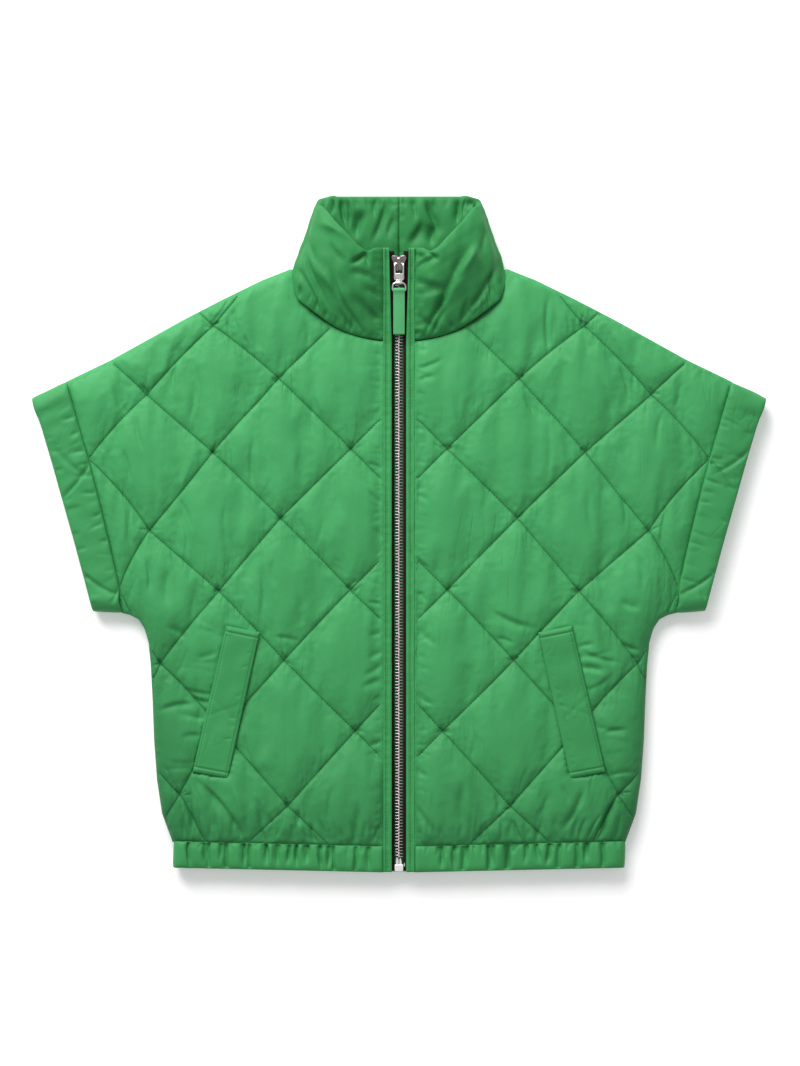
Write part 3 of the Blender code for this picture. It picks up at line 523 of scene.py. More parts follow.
def trough(away, width):
    """How deep a narrow groove is at a distance from its middle: e^(-(away / width)²)."""
    return np.exp(-(away / width) ** 2)


def roll(distance, width):
    """Quarter-round rise from 0 at an edge to 1 at the width."""
    share = np.clip(distance / width, 0, 1)
    return np.sqrt(1 - (1 - share) ** 2)


print("a 2 mm deep fold, across its middle:",
      folds(np.array([[0.0, y] for y in (0, 2, 4, 6, 8)]), [(-30, 0, 30, 0, 3, 2)]).round(2))

# %% [markdown]
# ## Plan geometry
# The outline of each panel is a polyline of seams and edges. Two plain tools go with it: the shortest
# distance from points to a polyline, and whether points are inside a closed one.

# %% Outline tools


def resampled(line, step):
    """The polyline with evenly spaced points, about a step apart, both ends kept."""
    length = np.concatenate([[0], np.cumsum(np.linalg.norm(np.diff(line, axis=0), axis=1))])
    even = np.linspace(0, length[-1], max(1, round(length[-1] / step)) + 1)
    return np.column_stack([np.interp(even, length, line[:, i]) for i in range(line.shape[1])])


def distance_to(points, line, share=4000):
    """Shortest distance from each point to an open polyline, in batches that fit the memory."""
    start, run = line[:-1], np.diff(line, axis=0)
    size = (run * run).sum(1)
    out = []
    for first in range(0, len(points), share):
        batch = points[first:first + share, None]
        along = np.clip(((batch - start) * run).sum(2) / size, 0, 1)
        out.append(np.linalg.norm(batch - start - along[..., None] * run, axis=2).min(1))
    return np.concatenate(out)


def inside(points, start, finish):
    """True for each point inside the directed edges, by crossings of a ray along +X."""
    x, y = points[:, :1], points[:, 1:]
    crosses = (start[:, 1] > y) != (finish[:, 1] > y)
    rise = np.where(finish[:, 1] == start[:, 1], 1.0, finish[:, 1] - start[:, 1])
    at = start[:, 0] + (y - start[:, 1]) / rise * (finish[:, 0] - start[:, 0])
    return (crosses & (x < at)).sum(1) % 2 == 1


def within(points, outline):
    """True for each point inside a closed outline."""
    return inside(points, outline, np.roll(outline, -1, axis=0))


def ring_of(outline):
    """A closed outline as a polyline that comes back to its start."""
    return np.vstack([outline, outline[:1]])


def crowded(count):
    """Shares from 0 to 1 that lie closer together at both ends: (1 - cos pi t) / 2."""
    return (1 - np.cos(np.pi * np.linspace(0, 1, count))) / 2


def neck_curve(drop, x_from, x_to, count):
    """Part of half an ellipse that hangs from the shoulder points."""
    end = np.arcsin(np.clip(np.array([x_from, x_to]) / NECK_HALF_WIDTH, -1, 1))
    turn = np.linspace(*end, count)
    return np.column_stack([NECK_HALF_WIDTH * np.sin(turn), NECK_Y - drop * np.cos(turn)])


def hem_y(x, side_y, centre_y):
    return centre_y + (side_y - centre_y) * np.abs(x) / HEM_HALF_WIDTH


def half_parts(inner_x, neck_drop, neck_count):
    """Hem, side, sleeve, shoulder and neck of the wearer's left half of a panel, counter-clockwise."""
    hem = np.array([(inner_x, hem_y(inner_x, HEM_SEAM_SIDE_Y, HEM_SEAM_CENTRE_Y)),
                    (HEM_HALF_WIDTH, HEM_SEAM_SIDE_Y)])
    side = np.vstack([hem[-1:], UNDERARM_AND_SIDE[:-1][::-1]])
    neck = neck_curve(neck_drop, NECK_HALF_WIDTH - 0.05, inner_x, neck_count)
    return [hem, side, SLEEVE_SEAM[::-1], SHOULDER_EDGE[::-1], neck]


def front_parts():
    """The parts of a front's outline, the last one its zip edge."""
    parts = half_parts(FRONT_EDGE_X, FRONT_NECK_DROP, 30)
    return [*parts, np.array([parts[-1][-1], parts[0][0]])]


def front_outline(step):
    return np.vstack([resampled(part, step)[:-1] for part in front_parts()])


def back_outline(step):
    """The back, counter-clockwise from the middle of the hem seam."""
    parts = half_parts(0.0, BACK_NECK_DROP, 20)
    half = np.vstack([*(resampled(part, step)[:-1] for part in parts), parts[-1][-1:]])
    return np.vstack([half, half[1:-1][::-1] * (-1.0, 1.0)])


def flat_area(outline):
    x, y = outline.T
    return abs((x * np.roll(y, -1) - np.roll(x, -1) * y).sum()) / 2 * MM ** 2


print("areas in m2:", [round(flat_area(outline(4)), 4) for outline in (front_outline, back_outline)])

# %% [markdown]
# ## The quilting net
# The wadding is sewn through along two families of lines that cross in diamonds. On the real garment
# the lines wander a little, so the net is a table: each column of crossings has an x and a sag at four
# heights, with straight blends between. A place is counted in columns and rows, and the stitching runs
# wherever half their sum or half their difference is a whole number.

# %% The net
ROW_PITCH, FIRST_ROW_Y = 70.5, 85.5
LEVELS_Y = np.array([234.5, 114.5, -65.5, -265.5])  # shoulder, chest, waist, low
QUILT_COLUMNS = {  # column number: ((x at the four levels), (sag at the four levels))
    -1: ((-22, -22, -22, -24), (0, 0, 0, 0)),
    0: ((48, 48, 48.5, 41), (0, 0, 0, 0)),
    1: ((120, 120.5, 116.5, 111), (0, 0, -2, 4)),
    2: ((185, 187.5, 179.5, 179), (22, 4, 1, -3)),
    3: ((252, 252, 248, 218), (20, 15.5, 8.5, -8)),
    4: ((340, 319, 278, 270), (16, 13, 0, 0)),
    5: ((405, 385, 345, 335), (16, 13, 0, 0)),
}
BACK_COLUMN_PITCH = 68.5
DIAMOND_SIDE = 97.0
PUFF_FLATNESS, PUFF_STEEPNESS = 3.6, 0.55


def column_value(column, y, which):
    """The x (0) or the sag (1) at a fractional column, blended between neighbours and between levels."""
    numbers = sorted(QUILT_COLUMNS)
    table = np.array([np.interp(-y, -LEVELS_Y, QUILT_COLUMNS[n][which]) for n in numbers])
    low = np.clip(np.floor(column).astype(int) - numbers[0], 0, len(numbers) - 2)
    share = np.clip(column - low - numbers[0], -0.3, 1.3)
    each = np.arange(len(column))
    return table[low, each] * (1 - share) + table[low + 1, each] * share


def front_net(column, row):
    """Plan point of a place in the front's net; the sag depends on the height, so it is found in steps."""
    y = FIRST_ROW_Y - ROW_PITCH * row
    for _ in range(3):
        y = FIRST_ROW_Y - ROW_PITCH * row - column_value(column, y, 1)
    return np.column_stack([column_value(column, y, 0), y])


def back_net(column, row):
    return np.column_stack([column * BACK_COLUMN_PITCH, FIRST_ROW_Y - ROW_PITCH * row])


def puff(first, second):
    """Height share of the padding: 0 on a quilting line, 1 in the middle of a diamond."""
    height = 1.0
    for way in (first, second):
        height = height * (1 - np.abs(1 - 2 * (way - np.floor(way))) ** PUFF_FLATNESS)
    return height ** PUFF_STEEPNESS


print("a diamond's corners:", front_net(np.array([0, 1, 2, 1]), np.array([0, 1, 0, -1])).round(1).tolist())

# %% [markdown]
# ## A quilted skin
# The mesh of a quilted panel has to bend sharply along its stitching, so its grid follows the net: lines
# of points run along every quilting line. The grid is kept where it lies inside the outline, and a
# constrained Delaunay triangulation fills the narrow strip that is left between the grid's staircase
# edge and the smooth outline.

# %% Skin mesh
LINE_CROWDING = 0.3  # how much closer the mesh's lines lie beside the stitching
FRONT_STEPS, BACK_STEPS = 33, 18  # mesh lines for each step of the net
FRONT_SPAN, BACK_SPAN = 7, 9  # steps of the net on each side of its middle
FIRST_COLUMN = -9


def kept_grid(net, outline, steps, span, clearance):
    """Quads, plan points and both net ways of the part of the grid that lies inside the outline."""
    count = 2 * span * steps + 1
    i, j = np.meshgrid(np.arange(count), np.arange(count), indexing="ij")
    even = np.arange(count) / steps - span
    ways = even - LINE_CROWDING * np.sin(2 * np.pi * even) / (2 * np.pi)
    first, second = ways[i.ravel()], ways[j.ravel()]
    points = net(first + second, first - second)
    low, high = outline.min(0) - 5, outline.max(0) + 5
    near = np.where(((points > low) & (points < high)).all(1) & (first + second > FIRST_COLUMN))[0]
    near = near[within(points[near], outline)]
    near = near[distance_to(points[near], ring_of(outline)) > clearance]
    good = np.zeros(count * count, bool)
    good[near] = True
    grid = good.reshape(count, count)
    a, b = np.where(grid[:-1, :-1] & grid[1:, :-1] & grid[1:, 1:] & grid[:-1, 1:])
    quads = np.column_stack([a * count + b, (a + 1) * count + b, (a + 1) * count + b + 1, a * count + b + 1])
    used = np.unique(quads)
    number = np.full(count * count, -1)
    number[used] = np.arange(len(used))
    return number[quads], points[used], first[used], second[used]


def border_of(quads):
    """The directed edges that only one quad has."""
    edges = np.vstack([quads[:, [k, (k + 1) % 4]] for k in range(4)])
    _, which, uses = np.unique(np.sort(edges, axis=1), axis=0, return_inverse=True, return_counts=True)
    return edges[uses[which.ravel()] == 1]


def triangulated(places, edges):
    """What a constrained Delaunay triangulation finds between edges that all have to be in it."""
    return delaunay_2d_cdt([Vector(p) for p in places], edges, [], 1, 1e-5)


def loop_edges(count):
    return [(k, (k + 1) % count) for k in range(count)]


def strip_triangles(points, border, outline):
    """Triangles between the grid's border and the outline, whose points are numbered after the grid's."""
    rim = np.unique(border)
    order = np.full(len(points), -1)
    order[rim] = np.arange(len(rim)) + len(outline)
    edges = loop_edges(len(outline)) + [tuple(map(int, edge)) for edge in order[border]]
    found = triangulated(np.vstack([outline, points[rim]]), edges)
    triangles = np.array(found[2])
    middles = np.array([p[:] for p in found[0]])[triangles].mean(1)
    triangles = triangles[~inside(middles, points[border[:, 0]], points[border[:, 1]])]
    source = np.array([o[0] for o in found[3]])
    whole = np.where(source < len(outline), len(points) + source,
                     rim[np.clip(source - len(outline), 0, len(rim) - 1)])
    return whole[triangles]


def one_way(points, faces):
    """The faces, each turned counter-clockwise as seen from above."""
    x, y = points[faces][..., 0], points[faces][..., 1]
    turned = (x * np.roll(y, -1, axis=1) - np.roll(x, -1, axis=1) * y).sum(1) < 0
    faces[turned] = faces[turned][:, ::-1]
    return faces


def quilted_skin(net, outline, steps, span, clearance=2.0):
    """Plan points, quads and triangles inside the outline. The outline's points come last, in order.
    Also gives the two net ways of each grid point, and whether it lies on a quilting line."""
    quads, points, first, second = kept_grid(net, outline, steps, span, clearance)
    triangles = strip_triangles(points, border_of(quads), outline)
    everything = np.vstack([points, outline])
    quads, triangles = (one_way(everything, faces) for faces in (quads, triangles))
    stitched = np.min([np.abs(way - np.round(way)) for way in (first, second)], axis=0) < 1e-6
    return everything, quads, triangles, first, second, stitched


outline_front = front_outline(2.6)
skin_points, skin_quads, skin_triangles, way_one, way_two, on_stitch = quilted_skin(
    front_net, outline_front, FRONT_STEPS, FRONT_SPAN)
print("front skin:", len(skin_points), "points,", len(skin_quads), "quads,", len(skin_triangles), "triangles")

# %% [markdown]
# ## Padded starting shape
# Before it is simulated, a front is a plain row of cushions. Four of its edges are sewn to cloth as high
# as itself, so there the padding only dips, as it does at the quilting. At the side and the shoulder it
# is sewn to the back, which lies under it, so there the whole panel rolls down. Where the pocket welt is
# sewn on, it is pressed flat.

# %% Starting height
FRONT_FLOOR_Z = LAYER_TOP + SEAM_GAP
SEAM_LOW, SEAM_ROLL = 0.9, 6.0  # share of the stitched thickness that is left at a seam, and its width
OUTER_LOW, OUTER_ROLL = 0.15, 26.0
BLOUSE_RISE, BLOUSE_FALL, BLOUSE_REACH = 4.5, 32.0, 130.0  # the puffs swell just above the gathered hem
ZIP_EDGE_RISE, ZIP_EDGE_WIDTH = 2.2, 5.0  # a front comes up to the facing beside the zip
UNDER_WELT, HELD_MARGIN = 0.4, 3.0  # how far the cloth lies below the welt's seat, and how near a seam
hem_part, side_part, sleeve_part, shoulder_part, neck_part, zip_part = front_parts()
ring_front, welt_ring = ring_of(outline_front), ring_of(WELT)


def front_height(plan, share):
    """Top of the padding: stitched thickness + puff x share, lower at the seams, rolled at the outside."""
    seam = np.min([distance_to(plan, part) for part in (hem_part, sleeve_part, neck_part, zip_part)], axis=0)
    outer = np.minimum(distance_to(plan, side_part), distance_to(plan, shoulder_part))
    rise = (1 - (1 - np.minimum(2 * seam / DIAMOND_SIDE, 1)) ** PUFF_FLATNESS) ** PUFF_STEEPNESS
    thick = STITCH_THICKNESS * (SEAM_LOW + (1 - SEAM_LOW) * roll(seam, SEAM_ROLL)) + PUFF_RISE * share * rise
    zip_away, hem_away = distance_to(plan, zip_part), distance_to(plan, hem_part)
    thick += ZIP_EDGE_RISE * (1 - roll(zip_away, ZIP_EDGE_WIDTH))
    swell = roll(hem_away, BLOUSE_FALL) * (1 - soft_step(hem_away, BLOUSE_FALL, BLOUSE_REACH))
    thick += BLOUSE_RISE * swell * roll(zip_away, 20.0)
    return FRONT_FLOOR_Z + thick * (OUTER_LOW + (1 - OUTER_LOW) * roll(outer, OUTER_ROLL))


seam_distance = distance_to(skin_points, ring_front)
seam_distance[len(way_one):] = 0.0
share = np.concatenate([puff(way_one, way_two), np.zeros(len(outline_front))])
under_welt = within(skin_points, WELT)
start_z = front_height(skin_points, share)
start_z = np.where(under_welt, np.minimum(start_z, WELT_SEAT_Z - UNDER_WELT), start_z)
on_line = np.concatenate([on_stitch, np.zeros(len(outline_front), bool)])
on_edge = np.arange(len(skin_points)) >= len(way_one)
held_still = (on_line & (seam_distance > HELD_MARGIN)) | on_edge | under_welt
print("start height:", start_z.min().round(1), "to", start_z.max().round(1), "mm; held points:",
      int(held_still.sum()))

# %% [markdown]
# ## Gathering the cloth by simulation
# A quilted shell is cut a little wider than it ends up: the stitching draws it in, and the spare cloth
# buckles into soft creases. Here each front starts wide, and over the first frames its pinned points,
# which are the stitching, the seams and the welt's seat, move in to their real places. Cloth pressure
# stands for the wadding. The simulation is run at twenty times the real size, because the solver's
# stiffness suits cloth whose points are centimetres apart.

# %% Cloth simulation
SIM_SCALE = 20.0
SPARE_WIDTH, SPARE_HEIGHT = 1.055, 1.01
CAP_RISE, CAP_SLIDE = 2.4, 1.5  # the furthest that a point may move, millimetres
KEPT_SHARE = 0.55  # the wadding holds back the rest of a fold
SIM_FRAMES, DRAWN_IN_BY = 20, 11
FRONT_MIDDLE_X = 165.0  # the stitching draws the cloth in towards it
CLOTH = {"quality": 5, "mass": 0.1, "tension_stiffness": 40, "compression_stiffness": 40,
         "shear_stiffness": 5, "bending_stiffness": 1.6, "tension_damping": 1, "compression_damping": 1,
         "shear_damping": 1, "bending_damping": 0.1, "air_damping": 0.2, "uniform_pressure_force": 0.05}


def simulated(points, blocks, held, middle_x, seed):
    """Where the cloth's points end up, in millimetres."""
    random = np.random.default_rng(seed)
    real = points * MM * SIM_SCALE
    middle = middle_x * MM * SIM_SCALE
    wide = real.copy()
    wide[:, 0] = middle + (real[:, 0] - middle) * SPARE_WIDTH
    wide[:, 1] *= SPARE_HEIGHT
    wide[:, 2] += np.where(held, 0.0, random.normal(0, 0.3, len(points))) * MM * SIM_SCALE
    mesh = make_mesh("cloth", wide / MM, *blocks)
    cloth = make_object("cloth", mesh)
    cloth.shape_key_add(name="cut")
    sewn = cloth.shape_key_add(name="sewn")
    sewn.data.foreach_set("co", real.astype(np.float32).ravel())
    for frame_number, value in ((1, 0.0), (DRAWN_IN_BY, 1.0)):
        sewn.value = value
        sewn.keyframe_insert("value", frame=frame_number)
    pins = cloth.vertex_groups.new(name="stitching")
    pins.add(np.where(held)[0].tolist(), 1.0, "REPLACE")
    solver = cloth.modifiers.new("cloth", "CLOTH")
    for name, value in CLOTH.items():
        setattr(solver.settings, name, value)
    solver.settings.vertex_group_mass = pins.name
    solver.settings.use_pressure = True
    solver.settings.effector_weights.gravity = 0.0
    solver.collision_settings.use_collision = False
    solver.point_cache.frame_start, solver.point_cache.frame_end = 1, SIM_FRAMES + 1
    for number in range(1, SIM_FRAMES + 1):
        bpy.context.scene.frame_set(number)
    drawn = cloth.evaluated_get(bpy.context.evaluated_depsgraph_get()).to_mesh()
    out = read(drawn.vertices, "co", 3)
    bpy.data.objects.remove(cloth)
    bpy.context.scene.frame_set(1)
    return out.astype(float) / MM / SIM_SCALE


def settled(points, blocks, held, middle_x, seed):
    moved = simulated(points, blocks, held, middle_x, seed) - points
    limit = np.array([CAP_SLIDE, CAP_SLIDE, CAP_RISE])
    print("moved on average", np.abs(moved).mean(0).round(2), "mm, at most", np.abs(moved).max(0).round(1))
    return points + np.clip(moved * KEPT_SHARE, -limit, limit)


# %% [markdown]
# ## Subdividing while the stitching stays sharp
# One subdivision rounds the simulated grid. Edges on a quilting line carry a full crease, so the valley
# of the stitching stays a sharp line. The result is read back as arrays, because the listed folds need
# its finer points.

# %% Subdivision helper


def subdivided(points, blocks, sharp, net_place):
    """One Catmull-Clark step: the finer points, quads and net places. Edges of sharp points are creased."""
    mesh = make_mesh("coarse", points, *blocks)
    mesh.attributes.new("net", "FLOAT_VECTOR", "POINT").data.foreach_set("vector", net_place.ravel())
    creased = sharp[read(mesh.edges, "vertices", 2, np.int32)].all(1).astype(np.float32)
    mesh.attributes.new("crease_edge", "FLOAT", "EDGE").data.foreach_set("value", creased)
    item = make_object("coarse", mesh)
    finer = item.modifiers.new("finer", "SUBSURF")
    finer.levels = finer.render_levels = 1
    made = item.evaluated_get(bpy.context.evaluated_depsgraph_get()).to_mesh()
    out, finer_net = read(made.vertices, "co", 3), read(made.attributes["net"].data, "vector", 3)
    corners = read(made.loops, "vertex_index", 1, np.int32).reshape(-1, 4)
    bpy.data.objects.remove(item)
    return out.astype(float) / MM, corners, finer_net


def net_places(first, second, count):
    """Both net ways and a 1 for each point of the grid, and zeros for the points after them."""
    places = np.zeros((count, 3))
    places[:len(first)] = np.column_stack([first, second, np.ones(len(first))])
    return places


def keep_net(mesh, net_place):
    """Stores the net places that the shell's finish reads to draw the stitching."""
    mesh.attributes.new("net", "FLOAT_VECTOR", "POINT").data.foreach_set("vector", net_place.ravel())
    return mesh


def closed_below(points, ring, floor_z):
    """Blocks and extra points for a wall down from a ring of points and a flat face that closes it."""
    count = len(ring)
    foot = len(points) + np.arange(count)
    below = np.column_stack([points[ring][:, :2], np.full(count, floor_z)])
    ahead = np.roll(np.arange(count), -1)
    wall = np.column_stack([ring, foot, foot[ahead], ring[ahead]])
    cap = foot[np.array(triangulated(below[:, :2], loop_edges(count))[2])]
    cap = one_way(np.vstack([points, below])[:, :2], cap)[:, ::-1]
    return np.vstack([points, below]), wall, cap


# %% [markdown]
# ## The folds of the two fronts
# These are the creases that the photo shows: long soft troughs that climb from the lower seams of a
# diamond, fans above the gathered hem, and short tight wrinkles beside the zip's stitching and the
# pocket welts. Each front has its own, because no two are sewn alike.

# %% Fold tables
FOLDS_LEFT = [  # x0, y0, x1, y1, width, depth: the wearer's left front
    (148.5, 236.5, 149, 183.5, 2.4, 1.5), (167, 218.5, 171, 201.5, 2, 0.9), (174, 216, 181, 203, 2, 0.8),
    (220, 168.5, 229, 134.5, 2.2, 1.1), (235, 162, 236, 130, 2.4, 0.9), (200, 154.5, 213, 119.5, 4, 0.9),
    (125, 140.5, 136, 119.5, 5, 1.2), (148.5, 115.5, 146.7, 47.5, 4, 1.0), (189, 44.5, 197, -9.5, 4, 1.1),
    (222, 40.5, 225, 4.5, 3, 0.9), (93, -76.5, 136, -93.5, 5, 1.6), (97, -102.5, 115, -108.5, 3, 0.9),
    (17, -92.5, 38, -111.5, 4, 1.0), (17, -233.5, 27, -241.5, 3, 0.9), (64, -247.5, 66, -298.5, 6, 2.4),
    (95, -255.5, 99, -276.5, 3, 1.1), (115, -284.5, 123, -306.5, 3, 1.2),
    (184.7, -254, 162, -296.5, 4, 2.2), (217, -262.5, 201, -296.5, 4, 1.8),
    (162, -249.5, 170, -268.5, 2.5, 1.1), (181, -115.5, 221, -127.5, 3.5, 1.3),
    (182, -131.5, 205, -139.5, 3.5, 1.3), (223, -108.5, 240, -115.5, 3, 1.1),
    (203, -198.5, 229, -194.5, 4, 1.3), (221, -66.5, 241, -74.5, 5, 1.2), (17, 153, 38, 159, 3, 0.9),
    (17, 166, 44, 176, 3, 1.0), (17, 40, 30, 32, 3, 0.8), (17, -22, 31, -34, 2.5, 0.8),
    (17, -56, 29, -68, 2.5, 0.8), (17, -160, 36, -171, 3.5, 0.9), (17, -272, 34, -300, 4, 1.2),
    (60, 142, 62, 112, 4, 0.6), (86, 60, 84, 22, 5, 0.8), (262, 120, 258, 84, 3, 1.0),
    (281, 152, 276, 126, 3, 0.8), (268, 30, 262, -22, 4, 1.2), (240, -20, 243, -56, 4, 1.3),
    (205, -20, 203, -52, 5, 0.9), (150, -255, 138, -282, 5, 0.9), (84, -290, 82, -308, 2.5, 1.0),
    (40, -292, 47, -310, 3, 1.0), (186, -282, 180, -304, 3, 1.2), (136, -292, 140, -307, 2.5, 1.1),
    (48, 96, 72, 86, 5, -0.6), (160, 92, 166, 40, 9, -0.9), (96, -130, 92, -190, 10, -0.8),
]
FOLDS_RIGHT = [  # the same columns: the wearer's right front
    (-165, 226.5, -163, 206.5, 2, 1.0), (-154.4, 199.5, -149, 178.5, 2, 1.2),
    (-171, 215, -167, 199, 2, 0.8), (-94, 213.5, -91, 190.5, 2.5, 0.8),
    (-222, 172.5, -226, 138.5, 2.5, 1.1), (-204.4, 151.5, -208, 114.5, 3, 1.0),
    (-145.4, 99.5, -145.4, 45, 3, 1.0), (-174, 97.5, -170.4, 72, 2.5, 0.8), (-86.5, 132, -85, 99, 3, 0.7),
    (-217, 26.5, -213, -24.5, 3.5, 1.1), (-174, 28.5, -170.4, -13.5, 3.5, 1.0),
    (-32, 71.5, -15.8, 66, 2.5, 0.9), (-31, 44, -15.8, 29, 2.5, 1.1), (-25, 6.5, -15.8, -4.5, 2, 1.0),
    (-230.6, -35, -230.6, -72, 6, 1.4), (-138.8, -23, -138.8, -88, 4, 1.0),
    (-126.5, -25.5, -122.5, -52, 4, 0.9), (-124.5, -102, -98, -106.5, 3, 1.0),
    (-30, -101, -15.8, -97, 3, 1.1), (-32, -67.5, -15.8, -69.4, 2, 0.9), (-27, -73.5, -16.3, -87, 2, 0.8),
    (-31, -125.5, -15.8, -117.3, 3.5, 1.0), (-35, -140, -15.8, -127.5, 3.5, 1.0),
    (-37, -152.5, -15.8, -144, 4, 1.1), (-31, -211.5, -15.8, -205, 3, 0.9),
    (-200, -246, -153, -306, 4, 2.2), (-208, -246, -200, -306, 4, 1.6), (-167, -248, -155, -297, 5, -1.2),
    (-218, -264, -210, -305, 4, 1.2), (-240, -175.5, -206, -168, 4, 1.4), (-204, -124, -179.6, -117, 4, 1.0),
    (-128.6, -276.5, -127, -306, 3, 1.0), (-100, -274, -98, -291, 3, 1.1), (-108, -289, -106, -308, 3, 1.2),
    (-90, -288, -81, -308, 3, 1.0), (-40.8, -270, -46, -309, 5, 2.0), (-17, -286, -26, -309, 3, 1.1),
    (-83.7, -222, -88, -248, 4, 0.9), (-212, -160, -186, -168, 3.5, 1.2), (-232, -92, -212, -104, 4, 1.1),
    (-262, 118, -255, 84, 3, 1.1), (-276, 86, -268, 50, 3, 1.1), (-285, 148, -272, 118, 4, 1.2),
    (-246, 66, -242, 22, 5, 1.0), (-268, 30, -266, -18, 4, 1.3), (-252, -24, -250, -60, 4, 1.3),
    (-60, 64, -58, 22, 6, 0.7), (-100, -60, -98, -92, 5, 0.9), (-66, -250, -70, -290, 5, 1.0),
    (-142, -262, -136, -290, 4, 1.1), (-100, 96, -104, 40, 9, -0.8), (-188, 122, -186, 76, 9, -0.8),
]
FRONT_FOLDS = {"left": (FOLDS_LEFT, 11), "right": (FOLDS_RIGHT, 23)}  # each with its seed
print("hand-placed folds:", len(FOLDS_LEFT), "left,", len(FOLDS_RIGHT), "right")

# %% [markdown]
# Two kinds of small creases are too many to place one by one. At each crossing of the quilting the
# spare cloth gathers into a few short ones that point away from it, and from every quilting line finer
# ones run up or down, at uneven places. Seeded random numbers give their lengths, slants and depths.

# %% Creases at the stitching


def crossings(net, outline, columns, rows, margin):
    """Plan places of the net's crossings that are inside the outline by that margin."""
    pairs = np.array([(c, r) for c in columns for r in rows if (c + r) % 2 == 0], dtype=float)
    places = net(pairs[:, 0], pairs[:, 1])
    return places[within(places, outline) & (distance_to(places, ring_of(outline)) > margin)]


def crossing_folds(centres, seed):
    """Rows for folds(): short creases that point away from each crossing, mostly upwards."""
    random = np.random.default_rng(seed)
    centre = np.repeat(centres, NODE_FOLDS, axis=0)
    count = len(centre)
    turn = np.radians(90 + random.normal(0, 55, count))
    run = np.column_stack([np.cos(turn), np.sin(turn)])
    length = random.uniform(6, 17, (count, 1))
    start = centre + random.normal(0, 1.5, (count, 2)) - run * length * 0.15
    return np.hstack([start, start + run * length, random.uniform(1.0, 1.9, (count, 1)),
                      random.uniform(0.5, 1.5, (count, 1))])


def line_folds(net, count, seed, weight):
    """Rows for folds(): creases that leave quilting lines upwards or downwards. The weight, a function of
    the plan place, says how likely one is kept there."""
    random = np.random.default_rng(seed)
    first, second = random.uniform(-FRONT_SPAN, FRONT_SPAN, (2, count))
    snap = random.random(count) < 0.5
    first, second = np.where(snap, np.round(first), first), np.where(snap, second, np.round(second))
    start = net(first + second, first - second)
    turn = np.radians(random.choice([90.0, -90.0], count) + random.normal(0, 17, count))
    run = np.column_stack([np.cos(turn), np.sin(turn)])
    length = random.uniform(9, 46, (count, 1))
    depth = random.uniform(0.2, 0.9, (count, 1)) * (0.6 + length / 46)
    rows = np.hstack([start + run * 1.5, start + run * length, random.uniform(1.2, 2.6, (count, 1)), depth])
    return rows[random.random(count) < weight(start)]


NODE_FOLDS = 6
FOLD_WIDTH, FOLD_DEPTH = 0.85, 1.85  # the tables' widths and depths are as seen from above
front_crossings = crossings(front_net, outline_front, range(5), range(-4, 6), 9.0)
print("crossings on a front:", len(front_crossings))

# %% [markdown]
# ## The fronts
# Everything comes together: start shape, simulation, one subdivision, the listed folds and the
# puckers, all faded out at the seams, and a flat underside that lies on the back.

# %% Build the fronts


def seam_folds(line, away, pitch, reach, width, depth, seed):
    """Rows for folds(): short creases that run off a seam, at uneven places, lengths and slants."""
    random = np.random.default_rng(seed)
    start = resampled(np.asarray(line, dtype=float), pitch)
    start = start + (start[-1] - start[0]) / len(start) * random.uniform(-0.4, 0.4, (len(start), 1))
    turn = np.arctan2(away[1], away[0]) + random.normal(0, 0.22, len(start))
    run = np.column_stack([np.cos(turn), np.sin(turn)])
    reach = reach * random.uniform(0.5, 1.3, (len(start), 1))
    start = start - run * reach * 0.2
    sizes = np.column_stack([width * random.uniform(0.7, 1.4, len(start)),
                             depth * random.uniform(0.3, 1.3, len(start))])
    return np.hstack([start, start + run * reach, sizes])


SEAM_CREASES = [  # line, way, pitch, reach, width, depth: beside the zip, above the hem, beside the welt
    ([(17, 190), (17, -306)], (1, -0.15), 10.0, 17.0, 1.7, 0.75),
    ([(20, -306), (214, -300)], (0.05, 1), 8.0, 30.0, 2.2, 1.7),
    (WELT[[1, 2]] + (3.0, 0.0), (1.0, 0.1), 17.0, 34.0, 3.0, 1.5)]


def busy(plan):
    """How likely a small crease is: the sleeve, the side and the hem are busier than the chest."""
    x, y = plan.T
    return np.clip(0.25 + 0.55 * soft_step(x, 130, 260) + 0.5 * soft_step(-y, 60, 240), 0, 1)


def front_relief(plan, sign, fold_rows, seed):
    """What folds, puckers and unevenness add to the height; nothing at the seams and under the welt."""
    mirrored = plan * (sign, 1.0)
    height = folds(mirrored, fold_rows * np.array([1, 1, 1, 1, FOLD_WIDTH, FOLD_DEPTH]))
    height += folds(plan, crossing_folds(front_crossings, seed + 1))
    height += folds(plan, line_folds(front_net, 620, seed + 4, busy))
    for number, creases in enumerate(SEAM_CREASES):
        height += folds(plan, seam_folds(*creases, seed + 6 + number))
    height += 0.16 * crumple(mirrored, seed + 2, 17.0, (1.0, 3.4)) + 0.3 * crumple(mirrored, seed + 3, 60.0)
    free = soft_step(distance_to(plan, ring_front), 0.0, 5.0)
    return height * free * ~within(plan, WELT)


